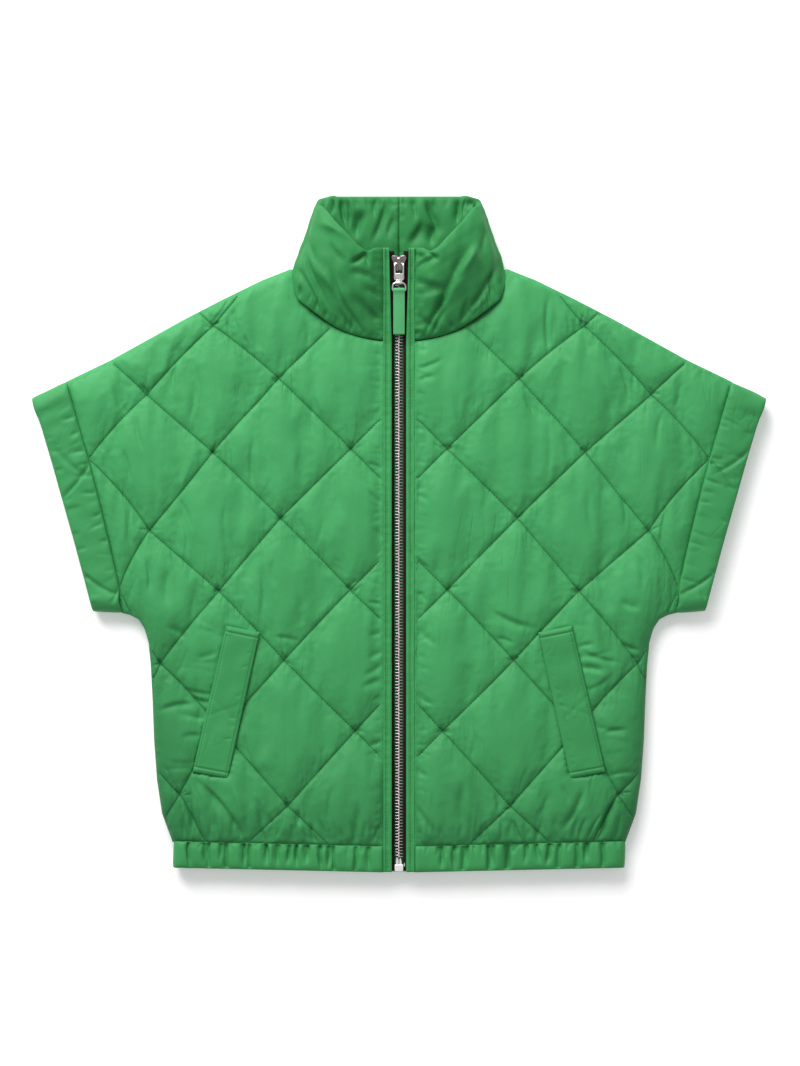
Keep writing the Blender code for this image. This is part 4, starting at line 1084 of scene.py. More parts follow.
def make_front(side, sign):
    fold_rows, seed = FRONT_FOLDS[side]
    points = np.column_stack([skin_points * (sign, 1.0), start_z])
    blocks = [skin_quads, skin_triangles]
    if sign < 0:
        blocks = [block[:, ::-1] for block in blocks]
    points = settled(points, blocks, held_still, sign * FRONT_MIDDLE_X, seed)
    ring = len(way_one) + np.arange(len(outline_front))
    if sign < 0:
        ring = ring[::-1]
    points, wall, cap = closed_below(points, ring, FRONT_FLOOR_Z)
    sharp = np.concatenate([on_line & (seam_distance > 1.0), np.zeros(len(ring), bool)])
    sharp[ring] = True
    sharp[len(skin_points):] = True
    net_place = net_places(way_one, way_two, len(points))
    points, quads, net_place = subdivided(points, [*blocks, wall, cap], sharp, net_place)
    plan = points[:, :2] * (sign, 1.0)
    top = soft_step(points[:, 2], FRONT_FLOOR_Z + 0.5, FRONT_FLOOR_Z + 3.0)
    points[:, 2] += front_relief(plan, sign, fold_rows, seed) * top
    points[:, 2] = np.maximum(points[:, 2], FRONT_FLOOR_Z)
    name = f"quilted_front_{side}"
    mesh = keep_net(make_mesh(name, points, quads), net_place)
    return finish_piece(name, mesh, shell, [f"front_{side}"])


fronts = {side: make_front(side, sign) for side, sign in SIDES}

# %% [markdown]
# ## The back
# The back lies face down, so its weight presses each puff flat on the floor. The stitching shows as
# grooves between the flats, and the panel rolls up to its seams all round. Nothing here needs a
# simulation: the floor has already decided the shape.

# %% Build the back
outline_back = back_outline(4.5)


def make_back():
    points, quads, triangles, first, second, stitched = quilted_skin(
        back_net, outline_back, BACK_STEPS, BACK_SPAN, 2.5)
    distance = distance_to(points, ring_of(outline_back))
    lift = np.concatenate([1 - puff(first, second), np.ones(len(outline_back))])
    groove = GROOVE_DEPTH * np.clip((lift - 0.55) / 0.45, 0, 1) ** 0.8
    edge = (LAYER_TOP - EDGE_THICKNESS) * (1 - roll(distance, ROLL_WIDTH))
    wrinkle = np.clip(crumple(points, 5, 26.0, (1.0, 2.6)) - 0.7, 0, 1) * 0.8
    low = np.maximum(edge, groove) + wrinkle * soft_step(distance, 0, 12)
    low[len(first):] = LAYER_TOP - EDGE_THICKNESS
    skin = np.column_stack([points, low])
    ring = len(first) + np.arange(len(outline_back))
    blocks = [quads[:, ::-1], triangles[:, ::-1]]
    whole, wall, cap = closed_below(skin, ring[::-1], LAYER_TOP)
    sharp = np.concatenate([stitched & (distance[:len(first)] > 1), np.ones(len(whole) - len(first), bool)])
    net_place = net_places(first, second, len(whole))
    whole, fine, net_place = subdivided(whole, [*blocks, wall, cap[:, ::-1]], sharp, net_place)
    whole[:, 2] = np.maximum(whole[:, 2], 0.0)
    mesh = keep_net(make_mesh("quilted_back", whole, fine), net_place)
    return finish_piece("quilted_back", mesh, shell, ["back_panel"])


back = make_back()

# %% [markdown]
# ## Strips of padded cloth
# The sleeve bands, the hem band and the collar are all one strip of padded cloth that starts at a seam
# and ends at a folded edge. A strip is a row of stations. Each gives its place at the seam, its place
# at the free edge, the angle that its outer face looks to and how far it bows. A smooth curve through
# the stations gives the finer ones, and across the strip the padding makes a rounded pillow.

# %% Strip helpers
BASE, EDGE, ANGLE, BOW = slice(0, 3), slice(3, 6), 6, 7  # columns of a station
OUTWARDS = np.array([1.0, 0.0])  # the way in plan that the hem and the collar turn over


def through(stations, count, turn=None):
    """Smooth curve at even distances: cubic Hermite with the slope between each station's neighbours.
    A turn, what one full round adds to a station, closes the curve."""
    stations, first = np.asarray(stations, dtype=float), 0
    last = len(stations) - 1
    if turn is not None:
        stations = np.vstack([stations[-2:] - turn, stations, stations[:3] + turn])
        first, last = 2, len(stations) - 3
    gaps = np.linalg.norm(np.diff(stations[:, :6], axis=0), axis=1)
    length = np.concatenate([[0], np.cumsum(gaps)])
    slope = np.gradient(stations, length, axis=0)
    even = np.linspace(length[first], length[last], count, endpoint=turn is None)
    k = np.clip(np.searchsorted(length, even, "right") - 1, 0, len(length) - 2)
    step = (length[k + 1] - length[k])[:, None]
    u = (even - length[k])[:, None] / step
    value = (1 + 2 * u) * (1 - u) ** 2 * stations[k] + u ** 2 * (3 - 2 * u) * stations[k + 1]
    return value + step * (u * (1 - u) ** 2 * slope[k] - u ** 2 * (1 - u) * slope[k + 1])


def looking(angle, outwards):
    """The direction that a strip's outer face looks to: 0 is up, 90 is outwards, 180 is down."""
    turn = np.radians(angle)[:, None]
    return np.hstack([np.sin(turn) * outwards, np.cos(turn)])


EDGE_FREE = 12.0  # creases reach full depth at a twelfth of the strip's width from its edges


def strip_rings(stations, outwards, thickness, across, outer_extra, inner_extra, ends=None, flatness=3.0,
                square=0.0):
    """Rings of points round a strip. Half thickness is T/2 (1 - |2s-1|^f)^(1/3), s from seam to edge.
    Square, from 0 to 1, moves the thin edges of a fold out as far as its thick middle."""
    s = crowded(across)
    base, edge = stations[:, None, BASE], stations[:, None, EDGE]
    facing = looking(stations[:, ANGLE], outwards)[:, None]
    bow = stations[:, BOW, None] * 4 * s * (1 - s)
    half = np.broadcast_to(thickness / 2 * (1 - np.abs(2 * s - 1) ** flatness) ** (1 / 3), bow.shape)
    if ends is not None:
        half = half * ends[:, None]
    middle = base + (edge - base) * s[:, None] + facing * bow[..., None]
    spread = square * (thickness / 2 - half) * np.abs(np.sin(np.radians(stations[:, ANGLE, None])))
    middle = middle + facing * spread[..., None]
    free = np.minimum(1, EDGE_FREE * s) * np.minimum(1, EDGE_FREE * (1 - s))
    sides = []
    for sign, extra in ((1.0, outer_extra), (-1.0, inner_extra)):
        flat = middle + facing * (sign * half)[..., None]
        added = extra(flat.reshape(-1, 3), np.repeat(stations[:, ANGLE], across)).reshape(bow.shape)
        sides.append(flat + facing * (sign * added * free)[..., None])
    return np.concatenate([sides[0], sides[1][:, -2:0:-1]], axis=1)


def ring_faces(rows, count, closed=False):
    """Quads between rings, and the two ends closed by quads and triangles across the ring."""
    i, j = np.meshgrid(np.arange(rows if closed else rows - 1), np.arange(count), indexing="ij")
    ahead, beside = (i + 1) % rows, (j + 1) % count
    quads = np.stack([i * count + j, i * count + beside, ahead * count + beside, ahead * count + j],
                     axis=2).reshape(-1, 4)
    if closed:
        return [quads, []]
    half = count // 2
    k = np.arange(1, half - 1)
    lid = np.column_stack([k, count - k, count - k - 1, k + 1])
    tips = np.array([(0, count - 1, 1), (half - 1, half + 1, half)])
    far = (rows - 1) * count
    return [np.vstack([quads, lid, lid[:, ::-1] + far]), np.vstack([tips, tips[:, ::-1] + far])]


def ring_mesh(name, rings, closed=False):
    return make_mesh(name, rings.reshape(-1, 3), *ring_faces(*rings.shape[:2], closed))


def area_of(mesh):
    return sum(p.area for p in mesh.polygons)


print("a strip of", 2 * 20 - 2, "points round, 5 stations:", [len(f) for f in ring_faces(5, 38)])

# %% [markdown]
# ## Sleeve bands
# Each sleeve ends in a band of the same quilted cloth, sewn on all the way round and pressed flat like
# the sleeve itself. So the strip runs down the front, turns under at the underarm, runs up the back and
# turns over at the shoulder. Its quilting leaves a cross near the top and a slanting line near the end.

# %% Build the sleeve bands
BAND_REACH = (BAND_THICKNESS + 2 * SEAM_GAP) / 2 + BAND_THICKNESS / 2
BAND_GROOVES_LEFT = [  # x0, y0, x1, y1, width, depth
    (313.0, 59.0, 355.0, 89.0, 2.2, 2.6), (302.0, 82.0, 337.0, 34.0, 2.2, 2.4),
    (277.0, -60.5, 320.0, -33.0, 2.2, 2.4), (300, -50, 304, -80, 2.5, 0.9)]
BAND_GROOVES_RIGHT = [
    (-345.0, 87.0, -313.0, 58.5, 2.2, 2.4), (-302.0, 83.0, -337.5, 33.5, 2.2, 2.6),
    (-319.0, -34.5, -279.0, -61.5, 2.2, 2.4), (-278.0, -50.0, -290.0, -71.0, 2.2, 1.6)]
up_the_band = (SLEEVE_SEAM[0] + SLEEVE_END[0] - SLEEVE_SEAM[-1] - SLEEVE_END[-1]) / 2
up_the_band /= np.linalg.norm(up_the_band)
BAND_HEIGHT, BAND_TUCKED = 36.0, 1.3  # the band's seam lies a little under the edge of the sleeve
BAND_STATIONS, BAND_ACROSS = 330, 29
BAND_SEAM_CREASES, BAND_END_CREASES = (12.5, 20.0, 2.2, 1.2), (21.0, 18.0, 2.8, 0.9)  # as in seam_folds
BAND_BACK_CREASES = (14.0, 15.0, 2.0, 0.8)


def sleeve_band_stations():
    radius = (BAND_THICKNESS + 2 * SEAM_GAP) / 2
    front = [(i, 0.0) for i in range(9, 0, -1)]
    over = [(0, a) for a in (15, 45, 90, 135, 165)]
    behind = [(i, 180.0) for i in range(1, 10)]
    under = [(10, a) for a in (195, 225, 270, 315, 345)]
    index, angle = (np.array(v) for v in zip(*(front + over + behind + under)))
    shift = np.where(index == 0, -BAND_REACH, np.where(index == 10, BAND_REACH, 0.0))[:, None] * up_the_band
    out = looking(angle, up_the_band) * radius
    high = np.full((len(index), 1), BAND_REACH)
    tucked = BAND_TUCKED * (SLEEVE_SEAM[index] - SLEEVE_END[index]) / BAND_HEIGHT
    base = np.hstack([SLEEVE_SEAM[index] + tucked + shift, high]) + out
    edge = np.hstack([SLEEVE_END[index] + shift, high]) + out
    return np.column_stack([base, edge, angle, np.zeros(len(index))])


def make_sleeve_band(side, sign, grooves, seed):
    full_round = np.array([0, 0, 0, 0, 0, 0, 360.0, 0])
    stations = through(sleeve_band_stations(), BAND_STATIONS, turn=full_round)
    mirror = np.array([sign, 1.0])
    seam = SLEEVE_SEAM[1:-1] * mirror
    outward = np.array([0.95, -0.28]) * mirror
    end = seam + outward * (BAND_HEIGHT - 3)
    front_rows = np.vstack([grooves, seam_folds(seam, outward, *BAND_SEAM_CREASES, seed),
                            seam_folds(end, -outward, *BAND_END_CREASES, seed + 1)])
    back_rows = np.vstack([np.array(grooves) + (0, -46, 0, -46, 0, 0),
                           seam_folds(seam, outward, *BAND_BACK_CREASES, seed + 2)])

    def outer(points, angle):
        plan = points[:, :2] * mirror
        front = soft_step(np.cos(np.radians(angle)), -0.1, 0.5)
        height = folds(plan, front_rows) * front + folds(plan, back_rows) * (1 - front)
        return height + 0.35 * crumple(points[:, :2] + points[:, 2:], seed + 3, 26.0)

    def inner(points, angle):
        return 0.25 * crumple(points[:, :2], seed + 4, 22.0)

    rings = strip_rings(stations, up_the_band, BAND_THICKNESS, BAND_ACROSS, outer, inner, flatness=6.0,
                        square=0.85)
    rings *= (sign, 1.0, 1.0)
    rings[..., 2] = np.maximum(rings[..., 2], 0.0)
    name = f"sleeve_band_quilted_{side}"
    return finish_piece(name, ring_mesh(name, rings, closed=True), shell_band, [f"sleeve_band_{side}"])


bands = {"left": make_sleeve_band("left", 1.0, BAND_GROOVES_LEFT, 41),
         "right": make_sleeve_band("right", -1.0, BAND_GROOVES_RIGHT, 57)}
for side, item in bands.items():
    print("band", side, "surface:", round(area_of(item.data), 4), "m2")

# %% [markdown]
# ## The hem band
# The hem is a strip with elastic inside, sewn on while stretched, so that it gathers when it relaxes.
# It runs from one zip edge round the back to the other. The gathers are sharpest at the seam and fan
# out a little; beside the zip the strip lies flat, because the elastic stops short of it.

# %% Build the hem band
HEM_GATHERS_X = [-209, -197, -188, -179.5, -171, -156.4, -148, -134.3, -118.5, -111, -100, -92, -78.5, -71,
                 -64, -44, -28, 41, 56, 63, 72, 87, 97, 106, 112, 127, 138, 149, 163, 177, 190, 202]
HEM_GATHER_LENGTHS, HEM_GATHER_WIDTHS, HEM_GATHER_DEPTHS = (26, 46), (2.0, 3.2), (3.6, 6.5)
HEM_TUCK_LINES, HEM_TUCKS = ([(-214, -307), (-18, -312)], [(18, -312), (214, -307)]), (6.0, 11.0, 1.5, 1.6)
HEM_STATIONS, HEM_ACROSS = 700, 23
HEM_TUCKED = 1.6  # the seam lies this far under the edge of the puffs


def hem_stations():
    radius = (HEM_THICKNESS + HEM_SLIT) / 2
    reach = radius + HEM_THICKNESS / 2
    fold_x = HEM_HALF_WIDTH - reach
    x = np.concatenate([np.linspace(FRONT_EDGE_X, fold_x, 15), [fold_x] * 3,
                        np.linspace(fold_x, -fold_x, 27), [-fold_x] * 3,
                        np.linspace(-fold_x, -FRONT_EDGE_X, 15)])
    angle = np.concatenate([np.zeros(15), [45, 90, 135], np.full(27, 180.0), [225, 270, 315],
                            np.full(15, 360.0)])
    out = looking(angle, OUTWARDS) * radius
    high = np.full(len(x), reach)
    base = np.column_stack([x, hem_y(x, HEM_SEAM_SIDE_Y, HEM_SEAM_CENTRE_Y) + HEM_TUCKED, high]) + out
    edge = np.column_stack([x, hem_y(x, HEM_SIDE_Y, HEM_CENTRE_Y), high]) + out
    return np.column_stack([base, edge, angle, np.zeros(len(x))])


def make_hem_band():
    stations = through(hem_stations(), HEM_STATIONS)
    random = np.random.default_rng(71)
    front_x = np.array(HEM_GATHERS_X, dtype=float)
    back_x = np.arange(-205.0, 206.0, 13.0) + random.uniform(-4, 4, 32)
    rows = []
    for xs in (front_x, back_x):
        slant = random.normal(0, 2.2, len(xs))
        top = hem_y(xs, HEM_SEAM_SIDE_Y, HEM_SEAM_CENTRE_Y) + 9
        foot = top - random.uniform(*HEM_GATHER_LENGTHS, len(xs))
        sizes = [random.uniform(*span, len(xs)) for span in (HEM_GATHER_WIDTHS, HEM_GATHER_DEPTHS)]
        rows.append(np.column_stack([xs, top, xs + slant, foot, *sizes]))
    tucks = [seam_folds(line, (0, -1), *HEM_TUCKS, 72 + number) for number, line in enumerate(HEM_TUCK_LINES)]
    front_rows, back_rows = np.vstack([rows[0], *tucks]), rows[1]

    def outer(points, angle):
        front = soft_step(np.cos(np.radians(angle)), -0.2, 0.4)
        height = folds(points[:, :2], front_rows) * front + folds(points[:, :2], back_rows) * (1 - front)
        flat = soft_step(np.abs(points[:, 0]), 16, 32)
        return (height + 0.5 * crumple(points[:, :2], 74, 19.0, (1.0, 2.5))) * flat

    def inner(points, angle):
        return 0.0 * points[:, 0]

    along = np.minimum(np.arange(HEM_STATIONS), np.arange(HEM_STATIONS)[::-1]) * 1.3
    ends = 0.3 + 0.7 * roll(along, 4.0)
    rings = strip_rings(stations, OUTWARDS, HEM_THICKNESS, HEM_ACROSS, outer, inner, ends, 4.0, 0.7)
    rings[..., 2] = np.maximum(rings[..., 2], 0.0)
    return finish_piece("hem_gathered", ring_mesh("hem_gathered", rings), shell_hem, ["hem_band"])


hem = make_hem_band()
print("hem surface:", round(area_of(hem.data), 4), "m2")

# %% [markdown]
# ## The collar
# A stand collar has no stiffening here. Laid down, its front leaf lies over its back leaf, and both
# crumple into deep soft folds that slant from the neck seam up to the top edge. It is cut in two halves
# with a seam at the centre back, so each half is a strip from the zip round to that seam.

# %% Collar stations and folds
COLLAR_STATIONS = [  # x_base, y_base, x_top, y_top, z_base, z_top, bow, angle
    (15.4, 193.6, 15.4, 285.4, 19.6, 34, 0, 0), (24, 195, 23.5, 285, 19.6, 39.5, 2, 0),
    (34, 196.6, 31, 281.6, 19.8, 43.5, 2.2, 0), (44, 199, 38.5, 285.6, 20, 45.0, 2.5, 1),
    (55, 203, 46, 293.5, 20.8, 45.0, 3, 3), (66, 208.6, 54, 302, 21.8, 43.5, 3.5, 7),
    (80, 218.5, 62.5, 311.5, 23.5, 37.5, 4, 16), (91, 227.5, 68.5, 320, 23.8, 31.5, 4, 27),
    (99, 235.5, 74, 327, 22.5, 26, 3, 40)]
COLLAR_FOLD_ANGLES = np.array([64.0, 90, 118, 150, 180])
COLLAR_BACK_X = np.array([60.0, 30.0, 0.0])
COLLAR_BACK_TOP_Z = 15.0  # the back leaf stands up a little towards its top edge
COLLAR_COUNT, COLLAR_ACROSS = 240, 46
COLLAR_SEAM_X, COLLAR_EDGE_X, COLLAR_EDGE_Y = 108.5, 83.0, 338.0  # the outermost of seam and edge, its top
LEAF_FOLD_WIDTH, LEAF_FOLD_DEPTH = 0.8, 2.3  # the tables give what shows from above, which falls short
BACK_FOLD_DEPTH = 2.0
COLLAR_LEAF_RIGHT = [  # x0, y0, x1, y1, width, depth: the front leaf of the wearer's right half
    (-94.5, 280, -70, 228, 4, 2.0), (-105, 271, -77.6, 216, 3, 1.5), (-68.5, 262, -34, 200.5, 4, 2.4),
    (-85, 268, -48.6, 214, 7, -2.2), (-50, 269, -29, 283, 3, 2.5), (-49, 262, -25, 255, 4, 1.6),
    (-34, 285, -30, 266, 3, 1.3), (-49, 238, -17, 205, 8, 2.0), (-76, 333.8, -61, 310, 3, 2.4),
    (-80, 311, -34, 288, 9, -2.8), (-92, 300, -80, 268, 5, 1.6), (-62, 226, -46, 200, 3, 1.2),
    (-17, 236, -36, 246, 3.5, 1.2), (-17, 216, -30, 221, 3, 1.0), (-70, 290, -52, 270, 5, 1.4)]
COLLAR_BACK_RIGHT = [
    (-57.7, 337, -53, 307, 3, 2.4), (-51.6, 337, -50, 306, 2.5, 1.9), (-34.8, 322, -44, 296, 6, 3.2),
    (-13.3, 333, -28, 292, 4, 2.0), (-22, 337, -25, 318, 3, 1.4), (-66, 337, -68, 318, 3, 1.4),
    (-4, 318, -12, 296, 4, 1.4)]
COLLAR_LEAF_LEFT = [
    (95.4, 262, 92.3, 235, 3, 1.6), (101, 272.5, 60, 212, 4, 2.2), (75.5, 290, 32, 199, 5, 2.4),
    (77, 292, 48, 233, 10, -1.8), (51, 240, 26, 199, 3, 1.8), (82, 296, 44, 244, 6, -1.6),
    (47, 226, 33, 197, 3, 1.8), (16.5, 266, 39, 275, 4, 1.7), (16.5, 252.6, 45, 246.5, 4.5, 1.7),
    (16.5, 236, 48, 244, 4.5, 1.6), (24, 287, 40, 273, 3, 2.1), (88, 306, 80, 280, 5, 1.2),
    (70, 236, 62, 208, 4, 1.0), (17, 216, 34, 208, 4, 1.2)]
COLLAR_BACK_LEFT = [
    (26.5, 335, 42, 302, 4, 2.8), (58.6, 336, 57, 311, 3, 2.2), (78.5, 337, 69, 325, 3, 1.9),
    (24, 312, 9, 290, 5, 2.4), (39, 309, 30, 289, 6, 3.2), (12, 337, 17, 314, 3, 1.4),
    (68, 337, 64, 318, 3, 1.2)]


def collar_stations():
    table = np.array(COLLAR_STATIONS, dtype=float)
    half = COLLAR_THICKNESS / 2
    leaf = np.column_stack([table[:, 0], table[:, 1], table[:, 4] - 3.8, table[:, 2], table[:, 3],
                            table[:, 5] - half, table[:, 7], table[:, 6]])
    radius, reach = half + SEAM_GAP, 2 * half + SEAM_GAP
    angle = COLLAR_FOLD_ANGLES
    share = np.interp(angle, (36, 90), (0.0, 1.0))
    out = looking(angle, OUTWARDS) * radius
    high = np.full(len(angle), reach)
    base = np.column_stack([COLLAR_SEAM_X - reach + 0 * angle, 238 + 21.5 * share, high]) + out
    lifted = (COLLAR_BACK_TOP_Z - half) * np.interp(angle, (90, 180), (0.0, 1.0))
    top_y = np.interp(angle, (64, 90, 125, 180), (329.0, 332.0, 336.5, COLLAR_EDGE_Y))
    top = np.column_stack([COLLAR_EDGE_X - reach + 0 * angle, top_y, high + lifted]) + out
    fold = np.column_stack([base, top, angle, 0 * angle])
    x = COLLAR_BACK_X
    neck_y = NECK_Y - BACK_NECK_DROP * np.sqrt(1 - (x / NECK_HALF_WIDTH) ** 2) + 0.8
    level = np.array([half, COLLAR_EDGE_Y, COLLAR_BACK_TOP_Z, 180.0]) + 0 * x[:, None]
    back = np.column_stack([x, neck_y, level[:, 0], x, level[:, 1:], 0 * x])
    return np.vstack([leaf, fold, back])


# %% [markdown]
# The folds of the front leaf press into its outer face; those of the back leaf press into the face that
# looks up inside the neck. The centre-back seam draws small ladder-like puckers on both halves.

# %% Build the collar
NECK_CREASES, ZIP_SIDE_CREASES = (9.0, 16.0, 2.2, 1.1), (8.0, 13.0, 1.8, 0.8)  # as in seam_folds
LADDER_CREASES, RIM_CREASES = (6.5, 8.0, 1.3, 0.5), (15.0, 16.0, 2.4, 0.8)


def make_collar(side, sign, leaf_rows, back_rows, seed):
    leaf_rows = np.array(leaf_rows, dtype=float)
    mirror = np.array([sign, 1.0])
    stations = through(collar_stations(), COLLAR_COUNT)
    seam_line = np.array([(20, 194), (44, 199), (64, 207.6), (82, 219.8), (97, 236)]) * mirror
    tucks = seam_folds(seam_line, (-0.25 * sign, 1.0), *NECK_CREASES, seed)
    zip_line = np.array([(16.5, 200.0), (16.5, 280.0)]) * mirror
    tight = seam_folds(zip_line, (sign, 0.1), *ZIP_SIDE_CREASES, seed + 1)
    narrow = np.array([1, 1, 1, 1, LEAF_FOLD_WIDTH, 1])
    leaf_rows = np.vstack([leaf_rows * narrow, tucks, tight])
    centre = np.column_stack([np.full(40, 0.15), np.linspace(246, 336, 40)]) * mirror
    ladder = seam_folds(centre, (sign, 0.0), *LADDER_CREASES, seed + 2)
    top_line = np.array([(4.0, 337.0), (80.0, 337.0)]) * mirror
    rim = seam_folds(top_line, (0.05, -1.0), *RIM_CREASES, seed + 3)
    back_rows = np.vstack([back_rows, ladder, rim])

    def outer(points, angle):
        plan = points[:, :2] * mirror
        front = 1 - soft_step(angle, 40, 75)
        height = folds(plan, leaf_rows) * front * LEAF_FOLD_DEPTH
        return height + 0.6 * crumple(plan, seed + 4, 30.0, (1.0, 1.8)) + 0.3 * crumple(plan, seed + 5, 13.0)

    def inner(points, angle):
        plan = points[:, :2] * mirror
        behind = soft_step(angle, 90, 125)
        seam = -0.8 * trough(points[:, 0], 1.6)
        height = (folds(plan, back_rows) * BACK_FOLD_DEPTH + seam) * behind
        return height + 0.5 * crumple(plan, seed + 6, 24.0, (1.0, 1.8)) * behind

    along = np.arange(COLLAR_COUNT) * 1.05
    ends = (0.72 + 0.28 * roll(along, 7.0)) * (0.82 + 0.18 * roll(along[::-1], 4.0))
    rings = strip_rings(stations, OUTWARDS, COLLAR_THICKNESS, COLLAR_ACROSS, outer, inner, ends, 3.0, 0.8)
    floor_z = np.interp(stations[:, ANGLE], [62, 90], [LAYER_TOP + 2 * SEAM_GAP, 0.0])
    rings[..., 2] = np.maximum(rings[..., 2], floor_z[:, None])
    rings *= (sign, 1.0, 1.0)
    name = f"collar_soft_{side}"
    return finish_piece(name, ring_mesh(name, rings), shell_collar, [f"collar_{side}"])


collars = {"left": make_collar("left", 1.0, COLLAR_LEAF_LEFT, COLLAR_BACK_LEFT, 83),
           "right": make_collar("right", -1.0, COLLAR_LEAF_RIGHT, COLLAR_BACK_RIGHT, 97)}
for side, item in collars.items():
    print("collar", side, "surface:", round(area_of(item.data), 4), "m2")

# %% [markdown]
# ## The pocket welts
# Each pocket mouth is covered by a narrow welt of flat cloth, stitched down at its two ends and along
# its outer side. The inner long side is folded, which leaves a thin rim along it.

# %% Build the welts
WELT_FLOOR_Z, WELT_EDGE = WELT_SEAT_Z + SEAM_GAP, 2.4
WELT_LONG, WELT_ACROSS = 130, 44  # points
WELT_SIZE = (150.0, 35.0)
RIM_WIDTH, BAR_WIDTH = 2.6, 5.8  # the folded inner side and the sewn ends
WELT_SEEDS = {"left": 101, "right": 103}


def welt_plan(u, v):
    """Plan point at u from top to bottom and v from the inner to the outer side."""
    top, foot = WELT[0] + (WELT[1] - WELT[0]) * v[..., None], WELT[3] + (WELT[2] - WELT[3]) * v[..., None]
    return top + (foot - top) * u[..., None]


def welt_height(plan, u, v, seed):
    """Height over the welt's underside: rolled edges, a narrow step along the folded inner side, raised
    bars at both ends and the creases that lie across it."""
    length, width = WELT_SIZE
    edge = distance_to(plan.reshape(-1, 2), welt_ring).reshape(u.shape)
    height = WELT_EDGE + (WELT_THICKNESS - WELT_EDGE) * roll(edge, 5.5)
    across, along = v * width, np.minimum(u, 1 - u) * length
    groove = 0.5 * trough(across - RIM_WIDTH, 0.7)
    bar = 1.1 * trough(along - BAR_WIDTH, 0.9)
    outer = 0.5 * trough(width - across - RIM_WIDTH, 0.8)
    down, aside = (u - 0.55) * length, (v - 0.5) * width * 0.6
    cross = 0.6 * trough(down - aside, 2.5) + 0.6 * trough(down + aside, 2.5)
    inner = soft_step(across, RIM_WIDTH, RIM_WIDTH + 6) * soft_step(along, BAR_WIDTH, BAR_WIDTH + 6)
    drag = 0.28 * crumple(plan.reshape(-1, 2), seed, 30.0).reshape(u.shape)
    mouth = seam_folds(WELT[[0, 3]] + (2.0, 0.0), (1.0, -0.25), 11.0, 12.0, 1.4, 0.75, seed)
    drag = drag + folds(plan.reshape(-1, 2), mouth).reshape(u.shape)
    return height - np.maximum(groove, np.maximum(bar, outer)) - (cross * 0.6 - drag) * inner


def make_welt(side, sign):
    u_line = crowded(WELT_LONG) * 0.3 + np.linspace(0, 1, WELT_LONG) * 0.7
    u, v = np.meshgrid(u_line, crowded(WELT_ACROSS), indexing="ij")
    plan = welt_plan(u, v)
    z = WELT_FLOOR_Z + welt_height(plan, u, v, WELT_SEEDS[side])
    top = np.dstack([plan, z])
    under = np.dstack([plan, np.full(u.shape, WELT_FLOOR_Z)])
    rings = np.concatenate([top, under[:, ::-1]], axis=1) * (sign, 1.0, 1.0)
    name = f"welt_{side}"
    return finish_piece(name, ring_mesh(name, rings), shell_band, [f"pocket_welt_{side}"])


welts = {side: make_welt(side, sign) for side, sign in SIDES}
for side, item in welts.items():
    print("welt", side, "surface:", round(area_of(item.data), 5), "m2")

# %% [markdown]
# ## Strips beside the zip
# A narrow facing of the shell cloth covers the edge of each zip tape. It is stitched through near its
# outer side. Facing, tape and teeth lie level on the body and climb a straight ramp up the collar.

# %% Build the facings and tapes
FACING_THICKNESS = 3.6
FACING_INNER_X = np.array([(-340.0, 7.1), (195.0, 7.1), (285.0, 9.8)])  # y, x: the facings part at the collar
FACING_GROOVE_X, FACING_GROOVE_DEPTH, FACING_GROOVE_WIDTH = 12.2, 2.0, 1.3
FACING_SEEDS = {"left": 111, "right": 117}
TAPE_THICKNESS, TAPE_INNER_X = 0.8, 4.6
FACING_STATIONS, TAPE_STATIONS = 340, 200


def facing_z(y):
    return np.interp(y, [RAMP_START_Y, RAMP_TOP_Y], [FACING_Z, FACING_TOP_Z])


RAMP_ANGLE = float(np.arctan2(FACING_TOP_Z - FACING_Z, RAMP_TOP_Y - RAMP_START_Y))


def along_zip(x_from, x_to, y_from, y_to, below, thickness, count, around, power, extra):
    """Rings of a strip with a section |x|^p + |z|^p = 1, its top that far under the facings' top."""
    y = np.linspace(y_from, y_to, count)[:, None]
    turn = np.linspace(0, 2 * np.pi, around, endpoint=False)
    bent, high = (np.sign(way) * np.abs(way) ** (2 / power) for way in (np.cos(turn), np.sin(turn)))
    x = (x_from + x_to) / 2 + (x_to - x_from) / 2 * bent + 0 * y
    z = facing_z(y) - below - thickness / 2 + thickness / 2 * high
    return np.stack([x, y + 0 * x, z + extra(x, y + 0 * x) * np.clip(high, 0, 1)], axis=2)


def facing_extra(seed):
    def extra(x, y):
        places = np.column_stack([x.ravel(), y.ravel()])
        pull = crumple(places, seed, 8.0, (3.0, 1.0)) * 0.16 + crumple(places, seed + 1, 40.0) * 0.25
        groove = FACING_GROOVE_DEPTH * trough(x - FACING_GROOVE_X, FACING_GROOVE_WIDTH)
        return pull.reshape(x.shape) - groove
    return extra


def no_extra(x, y):
    return 0 * x


foot_y, facing_outer = HEM_CENTRE_Y + 1.0, FRONT_EDGE_X + 0.3
tape_below = CHAIN_BELOW_FACING - TAPE_THICKNESS / 2
for side, sign in SIDES:
    inner_x = np.interp(np.linspace(foot_y, RAMP_TOP_Y, FACING_STATIONS), *FACING_INNER_X.T)[:, None]
    rings = along_zip(inner_x, facing_outer, foot_y, RAMP_TOP_Y, 0.0, FACING_THICKNESS, FACING_STATIONS, 32,
                      3.2, facing_extra(FACING_SEEDS[side])) * (sign, 1.0, 1.0)
    name = f"facing_{side}"
    item = finish_piece(name, ring_mesh(name, rings), shell_hem, [f"zip_facing_{side}"])
    rings = along_zip(TAPE_INNER_X, facing_outer - 1.5, foot_y + 1.0, RAMP_TOP_Y - 3.0, tape_below,
                      TAPE_THICKNESS, TAPE_STATIONS, 10, 6.0, no_extra) * (sign, 1.0, 1.0)
    name = f"tape_{side}"
    item = finish_piece(name, ring_mesh(name, rings), tape, [f"zip_tape_{side}"])

